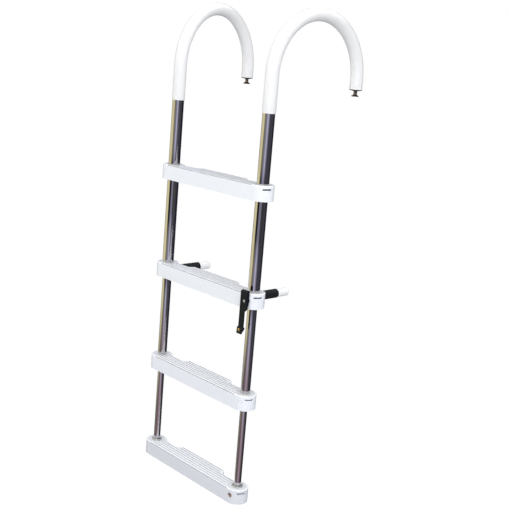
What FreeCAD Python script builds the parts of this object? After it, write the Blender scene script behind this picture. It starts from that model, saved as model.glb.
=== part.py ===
import FreeCAD, Part
import math
import os

from FreeCAD import Vector

# Telescoping four-step boat ladder that hangs from a deck by two hooks.
# Frame: X runs along the steps, +Y points from the climber to the boat, +Z is up.
# The origin lies midway between the two deck studs, where their necks leave the end plates.
# Every piece is drawn about the middle of the steps, and moved sideways to that origin as it is saved.

# Driving dimensions in millimetres.
RAIL_SPACING = 355.6
HOOK_WIDTH = 313.0
LEFT_HOOK_SPLAY = 72.0
HOOK_TAIL = 24.0
SECOND_STEP_DROP = 276.0
THIRD_STEP_DROP = 274.0
BOTTOM_STEP_DROP = 264.0
SPRING_TO_TOP_STEP = 267.0
SLEEVE_BELOW_SPRING = 92.0

# Tubes.
UPPER_OD = 31.75
MIDDLE_OD = 25.4
LOWER_OD = 19.05
TUBE_WALL = 1.2
SLEEVE_WALL = 1.2

# Clearances.
SEAT_FIT = 0.05
RUNNING_FIT = 0.1
COLLAR_GAP = 0.3
REST_GAP = 0.3
STEP_CLEARANCE = 5.0

# Treads.
STEP_HEIGHT = 40.0
STEP_END_RADIUS = 30.0
STEP_WAIST = 14.0
STEP_BULGE = 30.0
WAIST_FILLET = 10.0
BULGE_START = 70.0
BULGE_FULL = 92.0
STEP_WALL = 3.0
STEP_DECK = 4.0
STEP_EDGE_ROUND = 2.0
BOSS_WALL = 4.0
WEB_THICKNESS = 2.5
WEB_DEPTH_SHARE = 0.8
CROSS_WEB_COUNT = 5
LONG_WEB_OFFSETS = (-9.0, 6.0)
GROOVE_COUNT = 6
GROOVE_FIRST = -21.0
GROOVE_SPACING = 9.4
GROOVE_WIDTH = 2.4
GROOVE_DEPTH = 1.5
GROOVE_END_RADIUS = 28.0
GROOVE_EDGE_GAP = 3.0
POOL_RADIUS = 25.0
POOL_DEPTH = 0.8
SLOT_BELOW_TOP = 9.5
SLOT_HEIGHT = 4.0
SLOT_FRONT_ANGLE = 43.0
SLOT_BACK_ANGLE = 4.0

# Telescoping guides and stops.
GUIDE_LENGTH = 60.0
GUIDE_FLANGE = 4.0
STOP_LENGTH = 25.0
STOP_TO_TUBE_TOP = 3.0
FOOT_BUSHING_OD = 29.0
FOOT_LIP = 3.0
PLUG_DEPTH = 15.0

# Deck studs at the free ends of the hooks.
PLATE_HEIGHT = 5.0
PLATE_RIM = 1.6
PLATE_SAG = 0.9
STUD_NECK_OD = 9.6
STUD_NECK_LENGTH = 7.5
STUD_HEAD_OD = 20.0
STUD_FLARE = 3.5
STUD_RIM = 1.0
STUD_BEVEL = 1.5

# Standoffs behind the second step.
STANDOFF_INBOARD = 17.0
STANDOFF_REACH = 99.0
STANDOFF_SLEEVE_OD = 24.0
STANDOFF_CHAMFER = 2.0
STANDOFF_RIB_DEPTH = 0.9
STANDOFF_RIB_COUNT = 9
RIB_CREST_SHARE = 0.4
RIB_SLOPE_SHARE = 0.1
STANDOFF_STEM_OD = 12.0
STANDOFF_TIP_OD = 22.0
STANDOFF_TIP_LENGTH = 39.0
STANDOFF_TIP_ROUND = 3.5
STANDOFF_SOCKET = 5.0

# Latch on the front of the second step: a thick block on an off-centre rivet, a thin strap and a thumb tab.
LATCH_HEIGHT_ON_STEP = 23.0
LATCH_INNER_EDGE = 4.5
BLOCK_WIDTH = 22.7
BLOCK_TOP = 27.0
BLOCK_BOTTOM = 22.0
BLOCK_THICKNESS = 9.2
BLOCK_BACK_CHAMFER = 2.0
BLOCK_FRONT_CHAMFER = 3.0
BLOCK_RELIEF_START = 6.0
LATCH_EDGE_ROUND = 0.8
LATCH_CORNER_ROUND = 1.5
STRAP_WIDTH = 16.4
STRAP_START = 29.0
STRAP_END = 69.0
STRAP_THICKNESS = 4.0
TAB_WIDTH = 22.8
TAB_FOOT_WIDTH = 15.0
TAB_SHOULDER = 2.5
TAB_LENGTH = 17.5
TAB_FLARE = 5.4
TAB_HEEL = 0.9
TAB_FOOT_THICKNESS = 3.4
TAB_FOOT_SLOPE = 1.6
RIVET_OUTBOARD = 11.7
RIVET_SHANK_OD = 5.0
RIVET_COLLAR_OD = 10.0
RIVET_COLLAR = 1.0
RIVET_HEAD_OD = 10.0
RIVET_HEAD_HEIGHT = 2.5
RIVET_HEAD_EDGE = 0.7
RIVET_DEPTH = 8.0
RIVET_BOSS_WALL = 1.5
BUTTON_OD = 8.0
BUTTON_PROUD = 6.2
BUTTON_EDGE = 5.0
BUTTON_BELOW_STRAP = 7.7
EYELET_OD = 14.0
EYELET_HOLE = 8.0
EYELET_DEPTH = 8.0
EYELET_SET_BACK = 1.0

# Cutters run past the faces they open, and edges count as level within a small height.
CUT_PAST = 1.0
LEVEL_TOLERANCE = 0.01

# Places that follow from the sizes above.
RAIL_X = RAIL_SPACING / 2
RAIL_Y = -HOOK_WIDTH
TUBE_END_Z = PLATE_HEIGHT
SPRING_Z = TUBE_END_Z + HOOK_TAIL
TOP_STEP_Z = SPRING_Z - SPRING_TO_TOP_STEP - STEP_HEIGHT
SECOND_STEP_Z = TOP_STEP_Z - SECOND_STEP_DROP
THIRD_STEP_Z = SECOND_STEP_Z - THIRD_STEP_DROP
BOTTOM_STEP_Z = THIRD_STEP_Z - BOTTOM_STEP_DROP
ORIGIN_TO_MIDDLE = LEFT_HOOK_SPLAY / 2
SIDES = (("left", -1), ("right", 1))

X = Vector(1, 0, 0)
Y = Vector(0, 1, 0)
Z = Vector(0, 0, 1)


def save(node, shape):
    """Write one sub-part to its own file, at its distance from the origin between the studs."""
    if len(shape.Solids) == 1:
        shape = shape.Solids[0]
    if not shape.isValid():
        raise ValueError(node + " is not a valid solid")
    shape.translated(X * ORIGIN_TO_MIDDLE).exportStep("parts/" + node + ".step")


def disc(radius, height, base, axis=Z):
    """Solid cylinder from its base point along an axis."""
    return Part.makeCylinder(radius, height, base, axis)


def ring(outer, inner, height, base, axis=Z):
    """Hollow cylinder."""
    return disc(outer, height, base, axis).cut(disc(inner, height, base, axis))


def turned(points, origin, axis, arcs=()):
    """Solid of revolution from (radius, distance along the axis) points that start and end on the axis.

    Each of arcs is (index, via): the run from that point to the next is an arc through via, not a line.
    """
    side = X if abs(axis.dot(X)) < 0.5 else Y
    corners = [origin + side * r + axis * s for r, s in points]
    runs = [line(a, b) for a, b in zip(corners, corners[1:] + corners[:1])]
    for index, (r, s) in arcs:
        runs[index] = Part.Arc(corners[index], origin + side * r + axis * s, corners[index + 1]).toShape()
    return Part.Face(Part.Wire(runs)).revolve(origin, axis, 360)


def dome(radius, rise, base):
    """Point halfway out on a shallow dome that rises above its base at the axis."""
    ball = (radius ** 2 + rise ** 2) / (2 * rise)
    half = radius / 2
    return (half, base + rise - ball + math.sqrt(ball ** 2 - half ** 2))


def arc(centre, radius, start, end):
    """Circular edge in the XY plane about a centre, angles in degrees."""
    def at(angle):
        a = math.radians(angle)
        return centre + Vector(radius * math.cos(a), radius * math.sin(a), 0)
    return Part.Arc(at(start), at((start + end) / 2), at(end)).toShape()


def line(a, b):
    """Straight edge."""
    return Part.LineSegment(a, b).toShape()


def bearing(start, end):
    """Direction in the XY plane from one point to another, in degrees."""
    return math.degrees(math.atan2(end.y - start.y, end.x - start.x))


def hook_reach(side):
    """Level run from a rail to its hook's free leg: straight on the right, splayed outboard on the left."""
    splay = LEFT_HOOK_SPLAY if side < 0 else 0
    return Vector(side * splay, HOOK_WIDTH, 0)


def hook_tube(side, outer, inner, near_end):
    """Tube along one rail, over the 180 degree bend and down to the hook's free end."""
    near = Vector(side * RAIL_X, RAIL_Y, near_end)
    spring = Vector(side * RAIL_X, RAIL_Y, SPRING_Z)
    reach = hook_reach(side)
    tail = Vector(spring.x, spring.y, TUBE_END_Z) + reach
    section = Part.Face([Part.Wire(Part.makeCircle(radius, spring, Z)) for radius in (outer, inner)])
    bend = section.revolve(spring + reach / 2, Z.cross(reach), 180)
    leg = ring(outer, inner, SPRING_Z - near_end, near)
    free_leg = ring(outer, inner, HOOK_TAIL, tail)
    return leg.fuse([bend, free_leg]).removeSplitter()


def bulge_arc_radius():
    """Radius of the two equal arcs that carry the tread's back edge from the waist out to the bulge."""
    half_run = (BULGE_FULL - BULGE_START) / 2
    half_rise = (STEP_BULGE - STEP_WAIST) / 2
    return (half_run ** 2 + half_rise ** 2) / (2 * half_rise)


def half_outline(inset):
    """Edges of the tread's plan for the +X half, from the front centre round to the back centre."""
    rail = Vector(RAIL_X, 0, 0)
    end = STEP_END_RADIUS - inset
    fillet_v = STEP_WAIST + WAIST_FILLET
    fillet_u = math.sqrt((STEP_END_RADIUS + WAIST_FILLET) ** 2 - fillet_v ** 2)
    fillet = rail + Vector(-fillet_u, fillet_v, 0)
    sweep = bulge_arc_radius()
    hollow = rail + Vector(-BULGE_START, STEP_WAIST + sweep, 0)
    crest = rail + Vector(-BULGE_FULL, STEP_BULGE - sweep, 0)
    waist_v = STEP_WAIST - inset
    return [
        line(Vector(0, -end, 0), Vector(RAIL_X, -end, 0)),
        arc(rail, end, -90, bearing(rail, fillet)),
        arc(fillet, WAIST_FILLET + inset, bearing(fillet, rail), -90),
        line(Vector(fillet.x, waist_v, 0), Vector(hollow.x, waist_v, 0)),
        arc(hollow, sweep + inset, -90, bearing(hollow, crest)),
        arc(crest, sweep - inset, bearing(crest, hollow), 90),
        line(Vector(crest.x, STEP_BULGE - inset, 0), Vector(0, STEP_BULGE - inset, 0)),
    ]


def tread_plan(inset=0.0):
    """Face of the tread's plan outline, moved inwards by inset."""
    right = half_outline(inset)
    left = [edge.mirror(Vector(0, 0, 0), X) for edge in right]
    return Part.Face(Part.Wire(Part.__sortEdges__(right + left)))


def grooves():
    """Anti-slip grooves in the tread's top, out to a circle about each rail; those in the bulge are short."""
    cutters = []
    end_round = GROOVE_WIDTH / 2
    top = STEP_HEIGHT - GROOVE_DEPTH
    for index in range(GROOVE_COUNT):
        v = GROOVE_FIRST + index * GROOVE_SPACING
        reach = RAIL_X - math.sqrt(GROOVE_END_RADIUS ** 2 - v ** 2)
        if v + end_round > STEP_WAIST - GROOVE_EDGE_GAP:
            reach = RAIL_X - BULGE_FULL
        bar = Part.makeBox(2 * reach, GROOVE_WIDTH, GROOVE_DEPTH, Vector(-reach, v - end_round, top))
        ends = [disc(end_round, GROOVE_DEPTH, Vector(side * reach, v, top)) for _, side in SIDES]
        cutters.append(bar.fuse(ends))
    return cutters


def underside_pocket(bore_radius):
    """Hollow below the tread's deck, less the tube bosses and the stiffening webs."""
    depth = STEP_HEIGHT - STEP_DECK
    pocket = tread_plan(STEP_WALL).extrude(Z * depth)
    web_bottom = depth * (1 - WEB_DEPTH_SHARE)
    web_height = depth - web_bottom
    keep = []
    for _, side in SIDES:
        keep.append(disc(bore_radius + BOSS_WALL, depth, Vector(side * RAIL_X, 0, 0)))
        keep.append(Part.makeBox(WEB_THICKNESS, 2 * STEP_END_RADIUS, web_height,
                                 Vector(side * RAIL_X - WEB_THICKNESS / 2, -STEP_END_RADIUS, web_bottom)))
    for v in LONG_WEB_OFFSETS:
        keep.append(Part.makeBox(RAIL_SPACING, WEB_THICKNESS, web_height,
                                 Vector(-RAIL_X, v - WEB_THICKNESS / 2, web_bottom)))
    web_step = RAIL_SPACING / (CROSS_WEB_COUNT + 1)
    for index in range(1, CROSS_WEB_COUNT + 1):
        u = -RAIL_X + index * web_step
        keep.append(Part.makeBox(WEB_THICKNESS, STEP_BULGE + STEP_END_RADIUS, web_height,
                                 Vector(u - WEB_THICKNESS / 2, -STEP_END_RADIUS, web_bottom)))
    return pocket.cut(keep)


def end_slot(side):
    """Level slot through the front part of a tread's rounded end wall."""
    base = Vector(side * RAIL_X, 0, STEP_HEIGHT - SLOT_BELOW_TOP - SLOT_HEIGHT / 2)
    inner = STEP_END_RADIUS - STEP_WALL - SEAT_FIT
    sweep = SLOT_FRONT_ANGLE + SLOT_BACK_ANGLE
    band = Part.makeCylinder(STEP_END_RADIUS + CUT_PAST, SLOT_HEIGHT, base, Z, sweep)
    band = band.cut(disc(inner, SLOT_HEIGHT, base))
    band.rotate(base, Z, -SLOT_FRONT_ANGLE)
    return band if side > 0 else band.mirror(base, X)


def tread(bore_radius):
    """Moulded step: straight front, round ends about the rails, waists and a bulge behind, hollow below."""
    body = tread_plan().extrude(Z * STEP_HEIGHT)
    rims = [edge for edge in body.Edges if edge.BoundBox.ZMin > STEP_HEIGHT - LEVEL_TOLERANCE]
    body = body.makeFillet(STEP_EDGE_ROUND, rims)
    cutters = grooves()
    for _, side in SIDES:
        rail = Vector(side * RAIL_X, 0, 0)
        cutters.append(disc(POOL_RADIUS, POOL_DEPTH, rail + Z * (STEP_HEIGHT - POOL_DEPTH)))
        cutters.append(disc(bore_radius + SEAT_FIT, STEP_HEIGHT, rail))
        cutters.append(end_slot(side))
    return body.cut(underside_pocket(bore_radius)).cut(cutters)


def strap_outboard():
    """Distance of the strap's centre, and of the eyelet below it, outboard of the right rail's axis."""
    return STRAP_WIDTH / 2 - LATCH_INNER_EDGE


def front_at(outboard):
    """Distance of the step's round front from the rail axis plane, this far outboard of the rail."""
    return math.sqrt(STEP_END_RADIUS ** 2 - outboard ** 2) - SEAT_FIT


def latch_point(outboard, step_z):
    """Point in the plane of the rails at the latch's height on one step."""
    return Vector(RAIL_X + outboard, RAIL_Y, step_z + LATCH_HEIGHT_ON_STEP)


def placed(shape, step_z):
    """A tread modelled at the origin, moved to its height on the rails."""
    moved = shape.copy()
    moved.translate(Vector(0, RAIL_Y, step_z))
    return moved


def upper_rails():
    """Hooked tubes and their white sleeves."""
    radius = UPPER_OD / 2
    for name, side in SIDES:
        tube_end = SECOND_STEP_Z + GUIDE_FLANGE
        save(name + "_hook_rail", hook_tube(side, radius, radius - TUBE_WALL, tube_end))
        inner = radius + SEAT_FIT
        sleeve_end = SPRING_Z - SLEEVE_BELOW_SPRING
        save(name + "_hook_sleeve", hook_tube(side, inner + SLEEVE_WALL, inner, sleeve_end))


def deck_studs():
    """Saddle plate that closes each hook's free end, and the headed stud below it."""
    neck = STUD_NECK_OD / 2
    head = STUD_HEAD_OD / 2
    rim = UPPER_OD / 2 + SLEEVE_WALL
    for name, side in SIDES:
        seat = Vector(side * RAIL_X, RAIL_Y, 0) + hook_reach(side)
        lip = PLATE_HEIGHT - PLATE_RIM
        trumpet = [(0, PLATE_HEIGHT), (rim, PLATE_HEIGHT), (rim, lip), (neck, 0), (0, 0)]
        sag = ((rim + neck) / 2, lip / 2 + PLATE_SAG)
        save(name + "_end_plate", turned(trumpet, seat, Z, [(2, sag)]))
        shoulder = STUD_NECK_LENGTH + STUD_FLARE
        flat = shoulder + STUD_RIM + STUD_BEVEL
        stud = [(0, 0), (neck, 0), (neck, -STUD_NECK_LENGTH), (head, -shoulder), (head, STUD_BEVEL - flat),
                (head - STUD_BEVEL, -flat), (0, -flat)]
        save(name + "_locking_stud", turned(stud, seat, Z))


def standoff_start():
    """Distance of the standoff's socket floor behind the rail axis."""
    return math.sqrt(STEP_END_RADIUS ** 2 - STANDOFF_INBOARD ** 2) - STANDOFF_SOCKET


def standoff_axis(side):
    """Point of a standoff's axis in the plane of the rails."""
    return Vector(side * (RAIL_X - STANDOFF_INBOARD), RAIL_Y, SECOND_STEP_Z + STEP_HEIGHT / 2)


def standoffs():
    """Black ribbed sleeves and white bumpers that hold the ladder off the boat."""
    outer = STANDOFF_SLEEVE_OD / 2
    start = standoff_start()
    stem = STANDOFF_STEM_OD / 2
    tip = STANDOFF_TIP_OD / 2
    tip_end = STANDOFF_REACH + STANDOFF_TIP_LENGTH
    root = outer - STANDOFF_RIB_DEPTH
    rib_step = (STANDOFF_REACH - outer - start - STANDOFF_SOCKET) / STANDOFF_RIB_COUNT
    slope = RIB_SLOPE_SHARE * rib_step
    crest = RIB_CREST_SHARE * rib_step
    for name, side in SIDES:
        axis_point = standoff_axis(side)
        points = [(0, start), (root, start)]
        for index in range(STANDOFF_RIB_COUNT):
            s = start + STANDOFF_SOCKET + (index + 1) * rib_step
            points += [(root, s - crest - 2 * slope), (outer, s - crest - slope),
                       (outer, s - slope), (root, s)]
        points += [(outer, STANDOFF_REACH - outer), (outer, STANDOFF_REACH - STANDOFF_CHAMFER),
                   (outer - STANDOFF_CHAMFER, STANDOFF_REACH), (0, STANDOFF_REACH)]
        sleeve = turned(points, axis_point, Y)
        bore = disc(stem + SEAT_FIT, STANDOFF_REACH - start, axis_point + Y * start, Y)
        save(name + "_standoff_sleeve", sleeve.cut(bore))
        bumper = disc(tip, STANDOFF_TIP_LENGTH, axis_point + Y * STANDOFF_REACH, Y)
        nose = [edge for edge in bumper.Edges if edge.BoundBox.YMin > RAIL_Y + tip_end - LEVEL_TOLERANCE]
        bumper = bumper.makeFillet(STANDOFF_TIP_ROUND, nose)
        shaft = disc(stem, STANDOFF_REACH - start, axis_point + Y * start, Y)
        save(name + "_standoff_tip", bumper.fuse(shaft).removeSplitter())


def fixed_steps():
    """Top step, and the second step with its standoff sockets and the boss that takes the rivet."""
    bore = UPPER_OD / 2
    plain = tread(bore)
    save("top_step", placed(plain, TOP_STEP_Z))
    rivet = latch_point(RIVET_OUTBOARD, SECOND_STEP_Z)
    front = front_at(RIVET_OUTBOARD)
    boss = RIVET_COLLAR_OD / 2 + RIVET_BOSS_WALL
    second = placed(plain, SECOND_STEP_Z)
    second = second.fuse(disc(boss, RIVET_DEPTH + RIVET_BOSS_WALL, rivet - Y * front, Y)).removeSplitter()
    cutters = []
    for _, side in SIDES:
        socket = standoff_axis(side) + Y * standoff_start()
        cutters.append(disc(STANDOFF_SLEEVE_OD / 2 + SEAT_FIT, STEP_END_RADIUS, socket, Y))
    cutters.append(disc(RIVET_SHANK_OD / 2 + SEAT_FIT, RIVET_DEPTH, rivet - Y * front, Y))
    cutters.append(disc(RIVET_COLLAR_OD / 2 + SEAT_FIT, STEP_WALL, rivet - Y * (front + STEP_WALL), Y))
    save("second_step", second.cut(cutters))


def strap_side(back, front):
    """Latch strap's side view drawn through its greatest width, in distances from the rails and heights."""
    thin = front - STRAP_THICKNESS
    heel = thin - TAB_HEEL
    toe = front + TAB_FLARE
    tab_top = -STRAP_END - TAB_SHOULDER
    tab_end = -STRAP_END - TAB_LENGTH
    points = [
        (back, BLOCK_TOP - BLOCK_BACK_CHAMFER), (back + BLOCK_BACK_CHAMFER, BLOCK_TOP),
        (front - BLOCK_FRONT_CHAMFER, BLOCK_TOP), (front, BLOCK_TOP - BLOCK_FRONT_CHAMFER),
        (front, -STRAP_END), (toe, tab_end), (toe - TAB_FOOT_THICKNESS, tab_end - TAB_FOOT_SLOPE),
        (heel, tab_top - TAB_SHOULDER), (heel, tab_top), (thin, -STRAP_END), (thin, -STRAP_START),
        (back, -BLOCK_RELIEF_START),
    ]
    corner = latch_point(-LATCH_INNER_EDGE - TAB_WIDTH, SECOND_STEP_Z)
    corners = [corner - Y * d + Z * h for d, h in points]
    reach = 2 * TAB_WIDTH + BLOCK_WIDTH
    solid = Part.Face(Part.makePolygon(corners + [corners[0]])).extrude(X * reach)
    level = [edge for edge in solid.Edges if edge.BoundBox.XLength > reach / 2]
    return solid.makeFillet(LATCH_EDGE_ROUND, level)


def strap_front(depth):
    """Latch strap's front view drawn through its depth, in distances from its inner edge and heights."""
    tab_top = -STRAP_END - TAB_SHOULDER
    tab_end = -STRAP_END - TAB_LENGTH - TAB_FOOT_SLOPE
    over = (TAB_WIDTH - STRAP_WIDTH) / 2
    foot = (STRAP_WIDTH - TAB_FOOT_WIDTH) / 2
    points = [
        (0, BLOCK_TOP), (BLOCK_WIDTH, BLOCK_TOP), (BLOCK_WIDTH, -BLOCK_BOTTOM),
        (STRAP_WIDTH, -STRAP_START), (STRAP_WIDTH, -STRAP_END), (STRAP_WIDTH + over, tab_top),
        (STRAP_WIDTH - foot, tab_end), (foot, tab_end), (-over, tab_top), (0, -STRAP_END),
    ]
    corner = latch_point(-LATCH_INNER_EDGE, SECOND_STEP_Z)
    corners = [corner + X * u + Z * h for u, h in points]
    solid = Part.Face(Part.makePolygon(corners + [corners[0]])).extrude(Y * -depth)
    upright = [edge for edge in solid.Edges if edge.BoundBox.YLength > depth / 2]
    return solid.makeFillet(LATCH_CORNER_ROUND, upright)


def latch():
    """Rivet in the second step, and the strap with its thumb tab and button that swings on it."""
    rivet = latch_point(RIVET_OUTBOARD, SECOND_STEP_Z)
    seat = front_at(RIVET_OUTBOARD)
    collar_end = STEP_END_RADIUS + RIVET_COLLAR
    strap_back = collar_end + REST_GAP
    front = strap_back + BLOCK_THICKNESS
    head_seat = front + REST_GAP
    shank = RIVET_SHANK_OD / 2
    head = RIVET_HEAD_OD / 2
    head_base = head_seat + RIVET_HEAD_EDGE
    head_rise = RIVET_HEAD_HEIGHT - RIVET_HEAD_EDGE
    tail = seat - RIVET_DEPTH
    collar = RIVET_COLLAR_OD / 2
    profile = [(0, tail), (shank, tail), (shank, seat), (collar, seat), (collar, collar_end),
               (shank, collar_end), (shank, head_seat), (head, head_seat), (head, head_base),
               (0, head_base + head_rise)]
    crown = len(profile) - 2
    save("latch_rivet", turned(profile, rivet, -Y, [(crown, dome(head, head_rise, head_base))]))
    strap = strap_side(strap_back, front).common(strap_front(front + 2 * TAB_FLARE))
    hole = disc(shank + RUNNING_FIT, BLOCK_THICKNESS + 2 * CUT_PAST, rivet - Y * (front + CUT_PAST), Y)
    anchor = front - STRAP_THICKNESS / 2
    middle = latch_point(strap_outboard(), SECOND_STEP_Z)
    button_point = middle - Y * anchor - Z * (STRAP_END + BUTTON_BELOW_STRAP)
    button = BUTTON_OD / 2
    socket = disc(button + SEAT_FIT, STRAP_THICKNESS + TAB_FLARE, button_point, -Y)
    save("latch_strap", strap.cut([hole, socket]))
    rim = STRAP_THICKNESS / 2 + BUTTON_EDGE
    rise = BUTTON_PROUD - BUTTON_EDGE
    cap = [(0, 0), (button, 0), (button, rim), (0, rim + rise)]
    save("latch_button", turned(cap, button_point, -Y, [(2, dome(button, rise, rim))]))


def telescope(prefix, outer_od, tube_od, top_seat, tube_bottom):
    """Tube that runs in the guide of the tube above it, with the stop collar at its top."""
    guide_top = top_seat + GUIDE_LENGTH
    stop_bottom = guide_top + REST_GAP
    tube_top = stop_bottom + STOP_LENGTH + STOP_TO_TUBE_TOP
    outer_bore = outer_od / 2 - TUBE_WALL
    radius = tube_od / 2
    for name, side in SIDES:
        rail = Vector(side * RAIL_X, RAIL_Y, 0)
        tube = ring(radius, radius - TUBE_WALL, tube_top - tube_bottom, rail + Z * tube_bottom)
        save(name + "_" + prefix + "_tube", tube)
        stop = ring(outer_bore - COLLAR_GAP, radius + SEAT_FIT, STOP_LENGTH, rail + Z * stop_bottom)
        save(name + "_" + prefix + "_stop", stop)


def guide(prefix, outer_od, inner_od, tube_end):
    """Flanged bushing in the lower end of a tube, in which the next tube slides."""
    outer_bore = outer_od / 2 - TUBE_WALL
    bore = inner_od / 2 + RUNNING_FIT
    for name, side in SIDES:
        rail = Vector(side * RAIL_X, RAIL_Y, 0)
        barrel = ring(outer_bore - SEAT_FIT, bore, GUIDE_LENGTH, rail + Z * tube_end)
        flange = ring(outer_od / 2, bore, GUIDE_FLANGE, rail + Z * (tube_end - GUIDE_FLANGE))
        save(name + "_" + prefix + "_guide", barrel.fuse(flange))


def middle_section():
    """Third step with the middle tubes."""
    save("third_step", placed(tread(MIDDLE_OD / 2), THIRD_STEP_Z))
    telescope("middle", UPPER_OD, MIDDLE_OD, SECOND_STEP_Z + GUIDE_FLANGE, THIRD_STEP_Z + GUIDE_FLANGE)
    guide("middle", MIDDLE_OD, LOWER_OD, THIRD_STEP_Z + GUIDE_FLANGE)


def lower_section():
    """Bottom step with the lower tubes, their bushings and plugs, and the eyelet for the latch."""
    bushing = FOOT_BUSHING_OD / 2
    radius = LOWER_OD / 2
    step = placed(tread(bushing), BOTTOM_STEP_Z)
    outboard = strap_outboard()
    eye = latch_point(outboard, BOTTOM_STEP_Z) - Y * (front_at(outboard) - EYELET_SET_BACK)
    reach = 2 * EYELET_SET_BACK
    mouth = disc(EYELET_OD / 2 + SEAT_FIT, EYELET_DEPTH + reach, eye - Y * reach, Y)
    save("bottom_step", step.cut(mouth))
    save("latch_eyelet", ring(EYELET_OD / 2, EYELET_HOLE / 2, EYELET_DEPTH, eye, Y))
    telescope("lower", MIDDLE_OD, LOWER_OD, THIRD_STEP_Z + GUIDE_FLANGE, BOTTOM_STEP_Z + GUIDE_FLANGE)
    for name, side in SIDES:
        rail = Vector(side * RAIL_X, RAIL_Y, BOTTOM_STEP_Z)
        collar = ring(bushing, radius + SEAT_FIT, STEP_HEIGHT + FOOT_LIP, rail)
        save(name + "_foot_collar", collar)
        cap = disc(radius, GUIDE_FLANGE, rail)
        stem = disc(radius - TUBE_WALL - SEAT_FIT, PLUG_DEPTH, rail + Z * GUIDE_FLANGE)
        save(name + "_tube_plug", cap.fuse(stem))


def main():
    """Write every sub-part and print the travels of the two telescoping sections."""
    os.makedirs("parts", exist_ok=True)
    upper_rails()
    deck_studs()
    fixed_steps()
    guide("upper", UPPER_OD, MIDDLE_OD, SECOND_STEP_Z + GUIDE_FLANGE)
    standoffs()
    latch()
    middle_section()
    lower_section()
    kept = STEP_HEIGHT + STEP_CLEARANCE
    print("middle travel", THIRD_STEP_DROP - kept, "lower travel", BOTTOM_STEP_DROP - kept - FOOT_LIP)
    print("step heights", TOP_STEP_Z, SECOND_STEP_Z, THIRD_STEP_Z, BOTTOM_STEP_Z)
    print("rivet", latch_point(RIVET_OUTBOARD, SECOND_STEP_Z))


main()
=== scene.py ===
"""Telescoping four-step boat ladder: fine surfaces, finishes, studio and camera.

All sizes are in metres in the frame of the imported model: X along the steps, +Y from the climber
towards the boat, +Z up, with the origin midway between the two deck studs.
"""
import logging
import math
from dataclasses import dataclass, field
from enum import Enum

import bpy
import numpy as np
from mathutils import Matrix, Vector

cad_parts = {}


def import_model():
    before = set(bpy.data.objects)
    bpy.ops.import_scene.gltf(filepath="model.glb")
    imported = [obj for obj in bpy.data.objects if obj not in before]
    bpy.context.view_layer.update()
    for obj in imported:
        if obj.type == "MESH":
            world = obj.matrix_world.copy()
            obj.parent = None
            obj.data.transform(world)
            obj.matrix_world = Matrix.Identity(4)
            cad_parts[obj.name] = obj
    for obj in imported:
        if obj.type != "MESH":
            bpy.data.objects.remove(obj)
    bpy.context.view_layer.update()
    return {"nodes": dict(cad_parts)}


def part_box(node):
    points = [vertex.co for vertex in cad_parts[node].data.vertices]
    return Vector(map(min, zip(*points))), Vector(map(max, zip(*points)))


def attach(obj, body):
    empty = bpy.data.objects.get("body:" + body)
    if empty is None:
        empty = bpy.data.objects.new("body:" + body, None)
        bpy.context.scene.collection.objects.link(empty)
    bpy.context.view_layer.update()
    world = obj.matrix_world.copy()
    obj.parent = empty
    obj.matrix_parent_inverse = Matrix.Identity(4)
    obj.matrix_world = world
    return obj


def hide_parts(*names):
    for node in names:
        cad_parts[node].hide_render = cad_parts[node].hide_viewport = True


# Types that the signatures name
Point = tuple[float, float, float]
Colour = tuple[float, float, float]
Range = tuple[float, float]
Socket = bpy.types.NodeSocket
Piece = bpy.types.Object

# Vertices round each pipe, points of a pipe's rounded lip, and the angle past which an edge stays sharp
AROUND = 96
LIP_POINTS = 7
SHARP_ANGLE = math.radians(38.0)

# Length and angle that count as none, and distance below which two points are one
NO_LENGTH = 1e-12
NO_ANGLE = 1e-6
SAME_PLACE = 1e-7

# Triangles of a surface that has none
NO_FANS = np.empty((0, 3), int)

LOG = logging.getLogger("boat_ladder")


class Side(Enum):
    """Which rail a piece belongs to, seen by the climber."""

    LEFT = "left"
    RIGHT = "right"


class Body(Enum):
    """Moving section that a piece rides on."""

    UPPER = "upper_section"
    MIDDLE = "middle_section"
    LOWER = "lower_section"
    LATCH = "latch"


class Slot(Enum):
    """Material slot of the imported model."""

    STAINLESS = "polished_stainless"
    VINYL = "white_vinyl"
    TREAD = "white_tread"
    NYLON = "white_nylon"
    PLUG = "dark_plug"
    BRONZED = "bronzed_steel"
    RUBBER = "black_rubber"
    BUMPER = "white_bumper"
    BRIGHT = "bright_steel"
    BRASS = "brass"


# Paths and profiles


@dataclass(frozen=True)
class StraightPath:
    """Straight line, square to X, that a round profile is carried along.

    Attributes:
        start: Point at distance zero.
        axis: Unit direction of growing distance.
    """

    start: Point
    axis: Point = (0.0, 0.0, 1.0)

    def stations(self) -> np.ndarray:
        """Distances that need a ring of their own: none on a straight line."""
        return np.empty(0)

    def frames(self, s: np.ndarray) -> tuple[np.ndarray, np.ndarray, np.ndarray]:
        """Points and cross directions: point = start + s * axis, with +X and axis x X across.

        Args:
            s: Distances along the line.

        Returns:
            Points, first cross directions and second cross directions, one row per distance.
        """
        first = np.array([1.0, 0.0, 0.0])
        second = np.cross(self.axis, first)
        points = np.array(self.start) + s[:, None] * np.array(self.axis)
        return points, np.broadcast_to(first, points.shape), np.broadcast_to(second, points.shape)


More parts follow.
